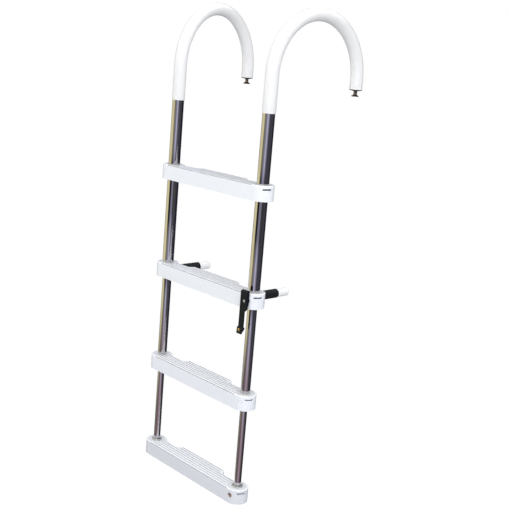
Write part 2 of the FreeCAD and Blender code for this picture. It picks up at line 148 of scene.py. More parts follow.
@dataclass(frozen=True)
class HookPath:
    """Rail line: up one leg, half a circle towards the boat, and down the short free leg.

    Attributes:
        rail: Place of the long leg, seen from above.
        tail: Place of the free leg, seen from above.
        foot: Height of the long leg's lower end.
        spring: Height at which the bend starts.
        bend_rings: Rings of vertices that carry the bend.
    """

    rail: tuple[float, float]
    tail: tuple[float, float]
    foot: float
    spring: float
    bend_rings: int = 91

    @property
    def radius(self) -> float:
        """Radius of the bend: half the distance between the legs."""
        return math.dist(self.rail, self.tail) / 2

    @property
    def leg(self) -> float:
        """Length of the straight long leg."""
        return self.spring - self.foot

    def stations(self) -> np.ndarray:
        """Distances of the rings that carry the bend, evenly apart."""
        return self.leg + self.radius * np.linspace(0.0, math.pi, self.bend_rings)

    def length(self, free_end: float) -> float:
        """Whole length of the line down to the height of the free end."""
        return self.leg + math.pi * self.radius + self.spring - free_end

    def frames(self, s: np.ndarray) -> tuple[np.ndarray, np.ndarray, np.ndarray]:
        """Points and cross directions along the rail.

        The bend angle is (s - leg) / radius held between 0 and pi. A point is the leg's height so far,
        plus radius * (1 - cos, sin) of the angle in the hook's plane, less what lies past the bend. One
        cross direction turns with the bend, the other is level and square to the hook's plane.

        Args:
            s: Distances along the rail from the long leg's lower end.

        Returns:
            Points, turning cross directions and fixed cross directions, one row per distance.
        """
        angle = np.clip((s - self.leg) / self.radius, 0.0, math.pi)
        past = np.maximum(s - self.leg - math.pi * self.radius, 0.0)
        height = self.foot + np.minimum(s, self.leg) + self.radius * np.sin(angle) - past
        ahead = (np.array(self.tail) - np.array(self.rail)) / (2 * self.radius)
        level = np.array(self.rail) + self.radius * (1 - np.cos(angle))[:, None] * ahead
        points = np.concatenate([level, height[:, None]], axis=1)
        turning = np.concatenate([np.cos(angle)[:, None] * ahead, -np.sin(angle)[:, None]], axis=1)
        fixed = np.broadcast_to(np.array([ahead[1], -ahead[0], 0.0]), points.shape)
        return points, turning, fixed


Path = StraightPath | HookPath


def unit(vectors: np.ndarray) -> np.ndarray:
    """A vector, or each row of many, divided by its length."""
    return vectors / np.maximum(np.linalg.norm(vectors, axis=-1, keepdims=True), NO_LENGTH)


def eased(value: np.ndarray) -> np.ndarray:
    """Smooth step: value * value * (3 - 2 * value), held between 0 and 1."""
    held = np.clip(value, 0.0, 1.0)
    return held * held * (3 - 2 * held)


def rounded(corners: list[tuple[float, float, float]], closed: bool, steps: int = 6) -> np.ndarray:
    """Profile of straight runs whose corners are round.

    At each corner the arc starts and ends at radius / tan(half the corner's angle) along the two runs.
    Its points are the circle's centre plus the slerp between the two radii that meet the runs.

    Args:
        corners: Rows of (distance along, distance out, radius of the corner). The radius is 0 for a
            sharp corner and for both ends of an open profile.
        closed: Whether the last corner runs back to the first.
        steps: Parts of each arc.

    Returns:
        Rows of (distance along, distance out), without doubles.
    """
    places, radii = np.split(np.array(corners), [2], axis=1)
    before = unit(np.roll(places, 1, axis=0) - places)
    after = unit(np.roll(places, -1, axis=0) - places)
    angle = np.arccos(np.clip(np.sum(before * after, axis=1, keepdims=True), -1.0, 1.0))
    half = np.maximum(angle / 2, NO_ANGLE)
    reach = radii / np.tan(half)
    centre = places + unit(before + after) * (radii / np.sin(half))
    first = (places + before * reach - centre)[:, None]
    last = (places + after * reach - centre)[:, None]
    turn = np.maximum(math.pi - angle, NO_ANGLE)[:, None]
    k = np.linspace(0.0, 1.0, steps + 1)[None, :, None]
    arcs = (np.sin((1 - k) * turn) * first + np.sin(k * turn) * last) / np.sin(turn)
    points = (centre[:, None] + arcs).reshape(-1, 2)
    keep = np.linalg.norm(np.roll(points, -1, axis=0) - points, axis=1) > SAME_PLACE
    if not closed:
        keep[-1] = True
    return points[keep]


def wall(path: Path, start: float, end: float, outer: float, inner: float, lip: float) -> np.ndarray:
    """Closed profile of a pipe: outside, rounded lip, bore and the other rounded lip.

    A lip's points lie at (1 - cos, sin) of a quarter turn times its rounding from the pipe's end and
    from the outside less the rounding.

    Args:
        path: Line that the pipe follows, which may ask for rings between the ends.
        start: Distance of the pipe's first end.
        end: Distance of its second end.
        outer: Outside radius.
        inner: Bore radius.
        lip: Rounding of the outer rims.

    Returns:
        Rows of (distance along, distance out).
    """
    rings = path.stations()
    rings = rings[(rings > start + lip) & (rings < end - lip)]
    turn = np.linspace(0.0, math.pi / 2, LIP_POINTS)
    first = np.stack([start + lip - lip * np.cos(turn), outer - lip + lip * np.sin(turn)], axis=1)
    last = np.stack([end - lip + lip * np.sin(turn), outer - lip + lip * np.cos(turn)], axis=1)
    outside = np.stack([rings, np.full_like(rings, outer)], axis=1)
    inside = np.stack([rings[::-1], np.full_like(rings, inner)], axis=1)
    return np.concatenate([first, outside, last, [[end, inner]], inside, [[start, inner]]])


def dome(base: float, crown: float, radius: float, steps: int = 12) -> np.ndarray:
    """Profile of a shallow dome: height = rise * (1 - (out / radius) squared) over its base.

    Args:
        base: Distance of the dome's edge.
        crown: Distance of its crown.
        radius: Radius of its edge.
        steps: Parts of the profile.

    Returns:
        Rows of (distance along, distance out) from just inside the edge to the axis.
    """
    out = np.linspace(1.0, 0.0, steps + 1)[1:]
    return np.stack([base + (crown - base) * (1 - out * out), radius * out], axis=1)


def ring_quads(rings: int, around: int, closed: bool = False) -> np.ndarray:
    """Faces between rings of vertices that are numbered ring after ring.

    Each face joins a vertex and the one beside it with the same two of the next ring.

    Args:
        rings: Number of rings.
        around: Vertices of each ring.
        closed: Whether the last ring is joined to the first.

    Returns:
        Rows of four vertex numbers.
    """
    column = np.arange(around)
    beside = (column + 1) % around
    ring = np.arange(rings if closed else rings - 1)[:, None]
    row, above = ring * around, (ring + 1) % rings * around
    return np.stack([row + column, row + beside, above + beside, above + column], axis=-1).reshape(-1, 4)


def carried(name: str, path: Path, profile: np.ndarray, closed: bool) -> Piece:
    """Round surface made by carrying a profile along a path.

    A vertex is the path's point at the profile's distance along, plus the profile's distance out times
    cos and sin of the angle round the path on its two cross directions. A closed profile gives a pipe. An
    open one starts and ends on the path, and each end is one vertex with a fan of triangles.

    Args:
        name: Name of the piece.
        path: Line that the profile is carried along.
        profile: Rows of (distance along, distance out).
        closed: Whether the profile is a loop.

    Returns:
        The piece as a mesh object at the origin.
    """
    points, first, second = path.frames(profile[:, 0])
    angle = np.linspace(0.0, 2 * math.pi, AROUND, endpoint=False)
    out = np.cos(angle)[None, :, None] * first[:, None] + np.sin(angle)[None, :, None] * second[:, None]
    grid = points[:, None] + profile[:, 1][:, None, None] * out
    if closed:
        return meshed(name, grid.reshape(-1, 3), ring_quads(len(profile), AROUND, True), NO_FANS)
    rings = grid[1:-1].reshape(-1, 3)
    verts = np.concatenate([rings, grid[:1, 0], grid[-1:, 0]])
    column = np.arange(AROUND)
    beside = (column + 1) % AROUND
    first_pole, last_pole = np.full(AROUND, len(rings)), np.full(AROUND, len(rings) + 1)
    top = len(rings) - AROUND
    fans = np.concatenate([np.stack([first_pole, beside, column], axis=1),
                           np.stack([last_pole, top + column, top + beside], axis=1)])
    return meshed(name, verts, ring_quads(len(profile) - 2, AROUND), fans)


def meshed(name: str, verts: np.ndarray, quads: np.ndarray, fans: np.ndarray) -> Piece:
    """Mesh object with smooth faces that point outwards.

    The faces' signed volume, the sum of a . (b x c) over their triangles, tells whether they point in; if
    they do, their order is turned round.

    Args:
        name: Name of the piece.
        verts: Vertex places.
        quads: Vertex numbers of the four-sided faces.
        fans: Vertex numbers of the triangles.

    Returns:
        The object, linked to the scene at the origin.
    """
    triangles = np.concatenate([quads[:, [0, 1, 2]], quads[:, [0, 2, 3]], fans])
    a, b, c = verts[triangles[:, 0]], verts[triangles[:, 1]], verts[triangles[:, 2]]
    if np.sum(a * np.cross(b, c)) < 0:
        quads, fans = quads[:, ::-1], fans[:, ::-1]
    piece = surface(name, verts, quads, fans)
    piece.data.shade_smooth()
    piece.data.set_sharp_from_angle(angle=SHARP_ANGLE)
    piece.data.update()
    return piece


def surface(name: str, verts: np.ndarray, quads: np.ndarray, fans: np.ndarray) -> Piece:
    """Mesh object with flat faces in the order given.

    Args:
        name: Name of the object.
        verts: Vertex places.
        quads: Vertex numbers of the four-sided faces.
        fans: Vertex numbers of the triangles.

    Returns:
        The object, linked to the scene at the origin.
    """
    mesh = bpy.data.meshes.new(name)
    mesh.from_pydata(verts.tolist(), [], quads.tolist() + fans.tolist())
    return linked(name, mesh)


def linked(name: str, data: bpy.types.ID) -> Piece:
    """Object that holds the data, linked to the scene at the origin.

    Args:
        name: Name of the object.
        data: Its mesh, lamp or camera.

    Returns:
        The object.
    """
    thing = bpy.data.objects.new(name, data)
    bpy.context.scene.collection.objects.link(thing)
    return thing


# Finishes


@dataclass(frozen=True)
class Clouds:
    """Cloudy pattern in object space, about 0.5 on average.

    Attributes:
        scale: Lumps per metre.
        detail: Octaves of finer lumps.
        stretch: Factor on the scale along each axis.
    """

    scale: float
    detail: float
    stretch: Point = (1.0, 1.0, 1.0)


@dataclass(frozen=True)
class Relief:
    """Relief in the shape of a cloudy pattern.

    Attributes:
        clouds: The pattern.
        depth: Height of the relief.
        strength: Share of it that shows.
    """

    clouds: Clouds
    depth: float
    strength: float


class Graph:
    """Node tree of one finish, with a Principled shader at its end."""

    def __init__(self, name: str) -> None:
        """Start an empty tree with its shader and output.

        Args:
            name: Name of the material.
        """
        self.material = bpy.data.materials.new(name)
        self.material.use_nodes = True
        self.tree = self.material.node_tree
        self.tree.nodes.clear()
        self.shader = self.node("BsdfPrincipled")
        self.surface = self.node("OutputMaterial").inputs["Surface"]
        self.link(self.shader.outputs[0], self.surface)
        self.place = self.node("TexCoord").outputs["Object"]

    def node(self, kind: str) -> bpy.types.Node:
        """New node of a kind, named without the word ShaderNode."""
        return self.tree.nodes.new("ShaderNode" + kind)

    def link(self, source: Socket, target: Socket) -> None:
        """Join two sockets."""
        self.tree.links.new(source, target)

    def feed(self, socket: str, source: Socket) -> None:
        """Join a source to one of the shader's sockets."""
        self.link(source, self.shader.inputs[socket])

    def set(self, **values: float) -> None:
        """Write constants on the shader's own sockets, with _ for the blanks in their names."""
        for name, value in values.items():
            self.shader.inputs[name.replace("_", " ")].default_value = value

    def noise(self, clouds: Clouds) -> Socket:
        """Cloudy pattern.

        Args:
            clouds: Its scale, detail and stretch.

        Returns:
            Socket with the pattern.
        """
        mapping = self.node("Mapping")
        mapping.inputs["Scale"].default_value = clouds.stretch
        self.link(self.place, mapping.inputs["Vector"])
        pattern = self.node("TexNoise")
        pattern.inputs["Scale"].default_value = clouds.scale
        pattern.inputs["Detail"].default_value = clouds.detail
        self.link(mapping.outputs[0], pattern.inputs["Vector"])
        return pattern.outputs[0]

    def span(self, value: Socket, source: Range, target: Range = (0.0, 1.0)) -> Socket:
        """Value carried straight from one range to another and held at the ends.

        Args:
            value: Socket to carry over.
            source: Range of the socket.
            target: Range of the result.

        Returns:
            Socket with the result.
        """
        carrier = self.node("MapRange")
        carrier.clamp = True
        for socket, number in zip(("From Min", "From Max", "To Min", "To Max"), source + target):
            carrier.inputs[socket].default_value = number
        self.link(value, carrier.inputs["Value"])
        return carrier.outputs[0]

    def rise(self, value: Socket, start: float, width: float) -> Socket:
        """Mask that goes from 0 to 1 over a width of the value."""
        return self.span(value, (start, start + width), (0.0, 1.0))

    def fall(self, value: Socket, start: float, width: float) -> Socket:
        """Mask that goes from 1 to 0 over a width of the value."""
        return self.span(value, (start, start + width), (1.0, 0.0))

    def calc(self, kind: str, first: Socket, second: Socket | float = 0.0) -> Socket:
        """One sum on two values.

        Args:
            kind: Name of the operation.
            first: First value.
            second: Second value, a socket or a number.

        Returns:
            Socket with the result.
        """
        step = self.node("Math")
        step.operation = kind
        self.link(first, step.inputs[0])
        if isinstance(second, Socket):
            self.link(second, step.inputs[1])
        else:
            step.inputs[1].default_value = second
        return step.outputs[0]

    def product(self, first: Socket, *others: Socket | float) -> Socket:
        """Product of values, which is 1 where masks are all 1.

        Args:
            first: First value.
            others: Values that it is multiplied by in turn.

        Returns:
            Socket with the product.
        """
        for other in others:
            first = self.calc("MULTIPLY", first, other)
        return first

    def axes(self) -> list[Socket]:
        """X, Y and Z of the place in object space.

        Returns:
            The three sockets.
        """
        split = self.node("SeparateXYZ")
        self.link(self.place, split.inputs[0])
        return list(split.outputs)

    def apart(self, first: Socket, second: Socket) -> Socket:
        """Distance from an axis: the root of the sum of the squares of two steps away from it."""
        squares = self.calc("ADD", self.product(first, first), self.product(second, second))
        return self.calc("SQRT", squares)

    def tint(self, factor: Socket, plain: Colour | Socket, other: Colour | Socket) -> Socket:
        """Colour between two, by a factor.

        Args:
            factor: 0 for the first colour, 1 for the second.
            plain: First colour, or the socket of an earlier tint.
            other: Second colour, or such a socket.

        Returns:
            Socket with the colour.
        """
        mix = self.node("Mix")
        mix.data_type = "RGBA"
        self.link(factor, mix.inputs[0])
        for socket, colour in zip(mix.inputs[6:8], (plain, other)):
            if isinstance(colour, Socket):
                self.link(colour, socket)
            else:
                socket.default_value = (*colour, 1.0)
        return mix.outputs[2]

    def join(self, kind: str, *shaders: Socket) -> Socket:
        """Mix or sum of shaders.

        Args:
            kind: Node that joins them.
            shaders: What its sockets get in turn; for a mix, the factor comes first.

        Returns:
            Socket with the shader.
        """
        joint = self.node(kind)
        for source, target in zip(shaders, joint.inputs):
            self.link(source, target)
        return joint.outputs[0]

    def bump(self, relief: Relief, under: Socket | None = None) -> Socket:
        """Surface that a relief gives.

        Args:
            relief: Its pattern, depth and strength.
            under: Surface of the coarser relief that it lies on.

        Returns:
            Socket with the normal.
        """
        bump = self.node("Bump")
        bump.inputs["Distance"].default_value = relief.depth
        bump.inputs["Strength"].default_value = relief.strength
        self.link(self.noise(relief.clouds), bump.inputs["Height"])
        if under is not None:
            self.link(under, bump.inputs["Normal"])
        return bump.outputs[0]


@dataclass(frozen=True)
class Finish:
    """One finish of the ladder, whose colour and gloss wear together under a fine grain.

    Attributes:
        name: Name of the material.
        slot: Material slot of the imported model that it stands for.
        colour: Plain colour.
        worn: Colour of its darker or duller places.
        smooth: Roughness of its smoothest places.
        rough: Roughness of its roughest places.
        wear: Pattern of the wear.
        cover: Values of that pattern at which the worn colour begins and is at its most.
        grain: Fine relief.
        waves: Coarser relief that the grain lies on, if there is one.
        most: Share of the worn colour at its most.
        swing: Values of the wear between which the roughness goes from smooth to rough.
        metal: How much of a mirror it is.
        shine: Strength of its reflections where it is no mirror.
        coat: Share of a clear skin.
        coat_rough: Roughness of that skin.
    """

    name: str
    slot: Slot
    colour: Colour
    worn: Colour
    smooth: float
    rough: float
    wear: Clouds
    cover: Range
    grain: Relief
    waves: Relief | None = None
    most: float = 1.0
    swing: Range = (0.3, 0.7)
    metal: float = 0.0
    shine: float = 0.5
    coat: float = 0.0
    coat_rough: float = 0.03

    def build(self) -> bpy.types.Material:
        """Make the material.

        Returns:
            The finished material.
        """
        graph = Graph(self.name)
        graph.set(Metallic=self.metal, Specular_IOR_Level=self.shine)
        graph.set(Coat_Weight=self.coat, Coat_Roughness=self.coat_rough)
        self.paint(graph)
        return graph.material

    def paint(self, graph: Graph) -> None:
        """Gloss and colour follow the wear, and the grain lies on the waves if there are any.

        Args:
            graph: Node tree that gets the finish.
        """
        wear = graph.noise(self.wear)
        graph.feed("Roughness", graph.span(wear, self.swing, (self.smooth, self.rough)))
        plain = graph.tint(graph.span(wear, self.cover, (0.0, self.most)), self.colour, self.worn)
        graph.feed("Base Color", self.tone(graph, plain))
        under = graph.bump(self.waves) if self.waves else None
        graph.feed("Normal", graph.bump(self.grain, under))

    def tone(self, graph: Graph, plain: Socket) -> Socket:
        """Colour made from the worn one: the same, where a finish doesn't add to it."""
        return plain


@dataclass(frozen=True)
class PolishedTube(Finish):
    """Stainless tube polished along its length, with faint haze from handling.

    Attributes:
        line_share: Least and most of the wear where the fine lines run.
        haze_share: Least and most of it where the haze lies.
    """

    name: str = "polished_stainless"
    slot: Slot = Slot.STAINLESS
    colour: Colour = (0.62, 0.61, 0.63)
    worn: Colour = (0.56, 0.545, 0.55)
    smooth: float = 0.03
    rough: float = 0.08
    wear: Clouds = Clouds(26.0, 4.0, (1.0, 1.0, 0.45))
    cover: Range = (0.4, 0.72)
    grain: Relief = Relief(Clouds(1400.0, 2.0, (1.0, 1.0, 0.02)), 0.000004, 0.35)
    metal: float = 1.0
    line_share: Range = (0.55, 1.0)
    haze_share: Range = (0.1, 1.0)

    def paint(self, graph: Graph) -> None:
        """Fine lines run along the tube; soft blotches of haze lie over them.

        Args:
            graph: Node tree that gets the finish.
        """
        lines = graph.span(graph.noise(self.grain.clouds), self.swing, self.line_share)
        haze = graph.span(graph.noise(self.wear), self.cover, self.haze_share)
        both = graph.product(lines, haze)
        graph.feed("Base Color", graph.tint(both, self.colour, self.worn))
        graph.feed("Roughness", graph.span(both, (0.0, 1.0), (self.smooth, self.rough)))
        graph.feed("Normal", graph.bump(self.grain))


@dataclass(frozen=True)
class DippedVinyl(Finish):
    """Glossy white vinyl with low waves of the dip and a fine orange peel."""

    name: str = "white_vinyl"
    slot: Slot = Slot.VINYL
    colour: Colour = (0.89, 0.895, 0.90)
    worn: Colour = (0.87, 0.875, 0.885)
    smooth: float = 0.16
    rough: float = 0.30
    wear: Clouds = Clouds(14.0, 4.0)
    cover: Range = (0.45, 0.8)
    most: float = 0.7
    grain: Relief = Relief(Clouds(620.0, 2.0), 0.00003, 0.6)
    waves: Relief = Relief(Clouds(38.0, 1.0), 0.0006, 0.5)
    coat: float = 0.28
    coat_rough: float = 0.08


@dataclass(frozen=True)
class MouldedTread(Finish):
    """White moulded tread with painted light on its rib tops and painted shade in its grooves, on its discs,
    behind its end slots and on its lowest step.

    A pair of heights is measured over a tread surface: where a mask is 0, then where it is 1.

    Attributes:
        ribs: Lighter colour painted on the ribs' tops: painted light on their upward faces.
        groove_shade: Painted shade in the grooves: a darker colour that stands for the shade in them.
        lowest_groove_shade: The painted groove shade on the lowest step, paler.
        shade: Painted shade on the hollow seen through the upper steps' end slots.
        pale_shade: The same on the lowest step.
        lowest_step_shade: Darker colour of the lowest step: painted shade where the light falls off towards
            the bottom.
        lowest: Heights in the model between which the upper steps' colours give way to the lowest one's.
        paling: The same for the shade behind the slots.
        blotches: Pattern that varies the painted groove shade.
        blotch_cover: Values of that pattern at which the painted groove shade is at its least and most.
        blotch_share: Least and most share of the painted groove shade's colour.
        tops: Heights of the four tread surfaces in the model.
        middle: X and Y of the point midway between the rails.
        rail: Distance of the rails from it.
        surface: Heights at which the ribs' and grooves' masks begin.
        rib_foot: Heights at which the ribs' mask ends.
        groove_foot: Heights at which the grooves' mask ends, below their floors.
        slot_top: Heights at which the slots' mask begins.
        slot_foot: Heights at which it ends.
        first_groove: Y of the middle of the front groove.
        groove_spacing: Distance from groove to groove.
        groove_half: Half the width of the painted shade in each groove.
        groove_end: Radius round each rail at which the long grooves end.
        inboard: Distance inboard of the rails from which there are grooves.
        bulge: Distance inboard of the rails from which the bulge has grooves.
        bulge_front: Distance behind the rails at which the bulge begins.
        pool: Radius of the flat disc round each tube.
        pool_shade_share: Share of the painted groove shade's colour on it: painted shade on the recessed
            disc.
        cap_wall: Radius of the inside of the rounded ends.
        fade: Width over which the straight masks of groove ends and bulge fade.
        round_fade: The same for the round ends and discs.
        cap_fade: The same for the slots.
        side_fade: The same for the grooves' sides.
    """

    name: str = "white_tread"
    slot: Slot = Slot.TREAD
    colour: Colour = (0.91, 0.938, 1.0)
    worn: Colour = (0.88, 0.908, 0.975)
    smooth: float = 0.13
    rough: float = 0.24
    wear: Clouds = Clouds(22.0, 5.0, (0.35, 1.0, 1.0))
    cover: Range = (0.5, 0.8)
    most: float = 0.8
    grain: Relief = Relief(Clouds(1100.0, 2.0), 0.00002, 0.5)
    waves: Relief = Relief(Clouds(45.0, 2.0), 0.0003, 0.3)
    # Painted light: lighter colour on the rib tops for the light on their upward faces
    ribs: Colour = (0.965, 0.98, 1.0)
    # Painted shade in the grooves, paler on the lowest step
    groove_shade: Colour = (0.16, 0.19, 0.22)
    lowest_groove_shade: Colour = (0.26, 0.305, 0.35)
    # Painted shade on the hollow seen through the end slots, paler on the lowest step
    shade: Colour = (0.055, 0.090, 0.140)
    pale_shade: Colour = (0.93, 0.96, 1.0)
    # Painted shade: darker lowest step, where the light falls off towards the bottom
    lowest_step_shade: Colour = (0.80, 0.82, 0.875)
    lowest: Range = (-0.838, -1.002)
    paling: Range = (-0.564, -1.052)
    blotches: Clouds = Clouds(60.0, 4.0)
    blotch_cover: Range = (0.3, 0.65)
    blotch_share: Range = (0.8, 1.0)
    tops: tuple[float, ...] = (-0.238, -0.514, -0.788, -1.052)
    middle: tuple[float, float] = (0.036, -0.313)
    rail: float = 0.1778
    surface: Range = (0.0003, 0.0002)
    rib_foot: Range = (-0.0016, -0.0012)
    groove_foot: Range = (-0.0019, -0.0017)
    slot_top: Range = (-0.0075, -0.0077)
    slot_foot: Range = (-0.0125, -0.0123)
    first_groove: float = -0.334
    groove_spacing: float = 0.0094
    groove_half: float = 0.0011
    groove_end: float = 0.0265
    inboard: float = 0.010
    bulge: float = 0.0905
    bulge_front: float = 0.010
    pool: float = 0.0255
    # Painted shade on the recessed discs round the tubes
    pool_shade_share: float = 0.24
    cap_wall: float = 0.0277
    fade: float = 0.001
    round_fade: float = 0.0005
    cap_fade: float = 0.0004
    side_fade: float = 0.0002

    def tone(self, graph: Graph, plain: Socket) -> Socket:
        """Painted shade on the lowest step, in the grooves, on the discs and behind the slots, and painted
        light on the rib tops, over the scuffed plastic.

        Where a place lies is told by its height over each tread surface, by how far it is outboard of
        the nearer rail and behind the rails, and by its distance round that rail.

        Args:
            graph: Node tree of the finish.
            plain: Socket with the scuffed plastic's colour.

        Returns:
            Socket with the colour.
        """
        x, y, z = graph.axes()
        from_middle = graph.calc("ABSOLUTE", graph.calc("SUBTRACT", x, self.middle[0]))
        outboard = graph.calc("SUBTRACT", from_middle, self.rail)
        behind = graph.calc("SUBTRACT", y, self.middle[1])
        around = graph.apart(outboard, behind)
        heights = [graph.calc("SUBTRACT", z, top) for top in self.tops]
        topped = self.between(graph, heights, self.surface, self.groove_foot)
        blotch = graph.span(graph.noise(self.blotches), self.blotch_cover, self.blotch_share)
        # Painted shade in the grooves, varied by blotches
        groove_shade_mask = graph.product(topped, self.grooved(graph, y, outboard, behind, around), blotch)
        # Painted shade on the recessed discs round the tubes
        disc = graph.product(topped, graph.fall(around, self.pool, self.round_fade), self.pool_shade_share)
        slots = self.between(graph, heights, self.slot_top, self.slot_foot)
        # Painted shade on the hollow seen through the end slots
        hollow = graph.product(slots, graph.fall(around, self.cap_wall - self.cap_fade, self.cap_fade))
        lowest = graph.span(z, self.lowest)
        # Painted shade on the lowest step
        base = graph.tint(lowest, plain, self.lowest_step_shade)
        # Painted light on the rib tops
        base = graph.tint(self.between(graph, heights, self.surface, self.rib_foot), base, self.ribs)
        # Painted groove shade, paler on the lowest step
        groove_shade = graph.tint(lowest, self.groove_shade, self.lowest_groove_shade)
        base = graph.tint(graph.calc("MAXIMUM", groove_shade_mask, disc), base, groove_shade)
        # Painted shade behind the slots, paler on the lowest step
        shade = graph.tint(graph.span(z, self.paling), self.shade, self.pale_shade)
        return graph.tint(hollow, base, shade)

    def grooved(self, graph: Graph, y: Socket, outboard: Socket, behind: Socket, around: Socket) -> Socket:
        """Mask of the painted shade in the grooves, seen from above.

        The distance to the nearest groove's middle is the Y from the front groove's middle, wrapped into one
        spacing. The mask is where that is within half the painted shade's width, inboard of the rails and
        outside the rounding about them, less the bulge's ends, where the grooves are shorter.

        Args:
            graph: Node tree of the finish.
            y: Y of the place.
            outboard: How far it lies outboard of the nearer rail.
            behind: How far it lies behind the rails.
            around: Its distance round the nearer rail.

        Returns:
            Socket with the mask.
        """
        spacing = self.groove_spacing
        across = graph.calc("SUBTRACT", y, self.first_groove - spacing / 2)
        offset = graph.calc("SUBTRACT", graph.calc("FLOORED_MODULO", across, spacing), spacing / 2)
        near = graph.fall(graph.calc("ABSOLUTE", offset), self.groove_half, self.side_fade)
        round_end = graph.rise(around, self.groove_end, self.round_fade)
        bulged = graph.product(graph.rise(behind, self.bulge_front, self.fade),
                               graph.rise(outboard, -self.bulge, self.fade))
        inner = graph.calc("SUBTRACT", graph.fall(outboard, -self.inboard, self.fade), bulged)
        return graph.product(near, round_end, inner)

    @staticmethod
    def between(graph: Graph, heights: list[Socket], upper: Range, lower: Range) -> Socket:
        """Mask of the places whose height over any of the tread surfaces lies between two levels.

        Args:
            graph: Node tree of the finish.
            heights: Height over each tread surface, below zero under it.
            upper: Heights at the upper level where the mask is 0 and 1.
            lower: Heights at the lower level where it is 0 and 1.

        Returns:
            Socket with the mask.
        """
        mask = None
        for height in heights:
            held = graph.product(graph.span(height, upper), graph.span(height, lower))
            mask = held if mask is None else graph.calc("MAXIMUM", mask, held)
        return mask


@dataclass(frozen=True)
class TurnedNylon(Finish):
    """White nylon of the bushings, stop collars and plugs, with faint level turning lines."""

    name: str = "white_nylon"
    slot: Slot = Slot.NYLON
    colour: Colour = (0.85, 0.86, 0.87)
    worn: Colour = (0.76, 0.77, 0.77)
    smooth: float = 0.22
    rough: float = 0.36
    wear: Clouds = Clouds(120.0, 3.0)
    cover: Range = (0.45, 0.75)
    grain: Relief = Relief(Clouds(900.0, 2.0, (0.05, 0.05, 1.0)), 0.00002, 0.6)


@dataclass(frozen=True)
class GlassyCollar(TurnedNylon):
    """Glassy grey ring round each tube on the bottom step, which mirrors the tube."""

    name: str = "glassy_collar"
    colour: Colour = (0.60, 0.61, 0.60)
    worn: Colour = (0.56, 0.57, 0.56)
    metal: float = 0.75


@dataclass(frozen=True)
class DarkPlug(Finish):
    """Dark green-black plastic of the hooks' end plates, with greyer scuffs."""

    name: str = "dark_plug"
    slot: Slot = Slot.PLUG
    colour: Colour = (0.035, 0.05, 0.042)
    worn: Colour = (0.085, 0.10, 0.085)
    smooth: float = 0.30
    rough: float = 0.55
    wear: Clouds = Clouds(260.0, 4.0)
    cover: Range = (0.45, 0.75)
    grain: Relief = Relief(Clouds(1400.0, 2.0), 0.00005, 0.5)


@dataclass(frozen=True)
class BronzedStud(Finish):
    """Turned stud with a warm brown metal surface, level turning lines and darker tarnish."""

    name: str = "bronzed_steel"
    slot: Slot = Slot.BRONZED
    colour: Colour = (0.30, 0.25, 0.21)
    worn: Colour = (0.15, 0.12, 0.10)
    smooth: float = 0.20
    rough: float = 0.38
    wear: Clouds = Clouds(210.0, 4.0)
    cover: Range = (0.4, 0.7)
    grain: Relief = Relief(Clouds(1800.0, 2.0, (0.03, 0.03, 1.0)), 0.00002, 0.6)
    metal: float = 1.0


@dataclass(frozen=True)
class BlackRubber(Finish):
    """Moulded black rubber of the strap, with a grey bloom in raised mottles and fine pits."""

    name: str = "black_rubber"
    slot: Slot = Slot.RUBBER
    colour: Colour = (0.003, 0.006, 0.010)
    worn: Colour = (0.011, 0.016, 0.023)
    smooth: float = 0.48
    rough: float = 0.72
    wear: Clouds = Clouds(330.0, 5.0)
    cover: Range = (0.45, 0.72)
    grain: Relief = Relief(Clouds(1500.0, 3.0), 0.00008, 0.6)
    waves: Relief = Relief(Clouds(330.0, 5.0), 0.0003, 0.5)
    shine: float = 0.20


@dataclass(frozen=True)
class SleeveRubber(BlackRubber):
    """The standoff sleeves' rubber, painted lighter than the strap's: a painted sheen."""

    name: str = "sleeve_rubber_painted_sheen"
    # Painted sheen: lighter colours than the strap's rubber
    colour: Colour = (0.010, 0.012, 0.014)
    worn: Colour = (0.018, 0.020, 0.022)


@dataclass(frozen=True)
class WhiteBumper(Finish):
    """Soft white rubber of the standoff tips, with grey rub marks in soft patches."""

    name: str = "white_bumper"
    slot: Slot = Slot.BUMPER
    colour: Colour = (0.94, 0.945, 0.95)
    worn: Colour = (0.84, 0.84, 0.835)
    smooth: float = 0.40
    rough: float = 0.60
    wear: Clouds = Clouds(95.0, 5.0)
    cover: Range = (0.55, 0.85)
    most: float = 0.8
    grain: Relief = Relief(Clouds(1300.0, 2.0), 0.00002, 0.5)


@dataclass(frozen=True)
class BrownedEyelet(Finish):
    """Plated steel of the eyelet, browned by the water in spots."""

    name: str = "browned_eyelet"
    slot: Slot = Slot.BRIGHT
    colour: Colour = (0.66, 0.54, 0.48)
    worn: Colour = (0.52, 0.40, 0.34)
    smooth: float = 0.30
    rough: float = 0.44
    wear: Clouds = Clouds(420.0, 4.0)
    cover: Range = (0.5, 0.75)
    grain: Relief = Relief(Clouds(900.0, 2.0), 0.00002, 0.4)
    metal: float = 1.0


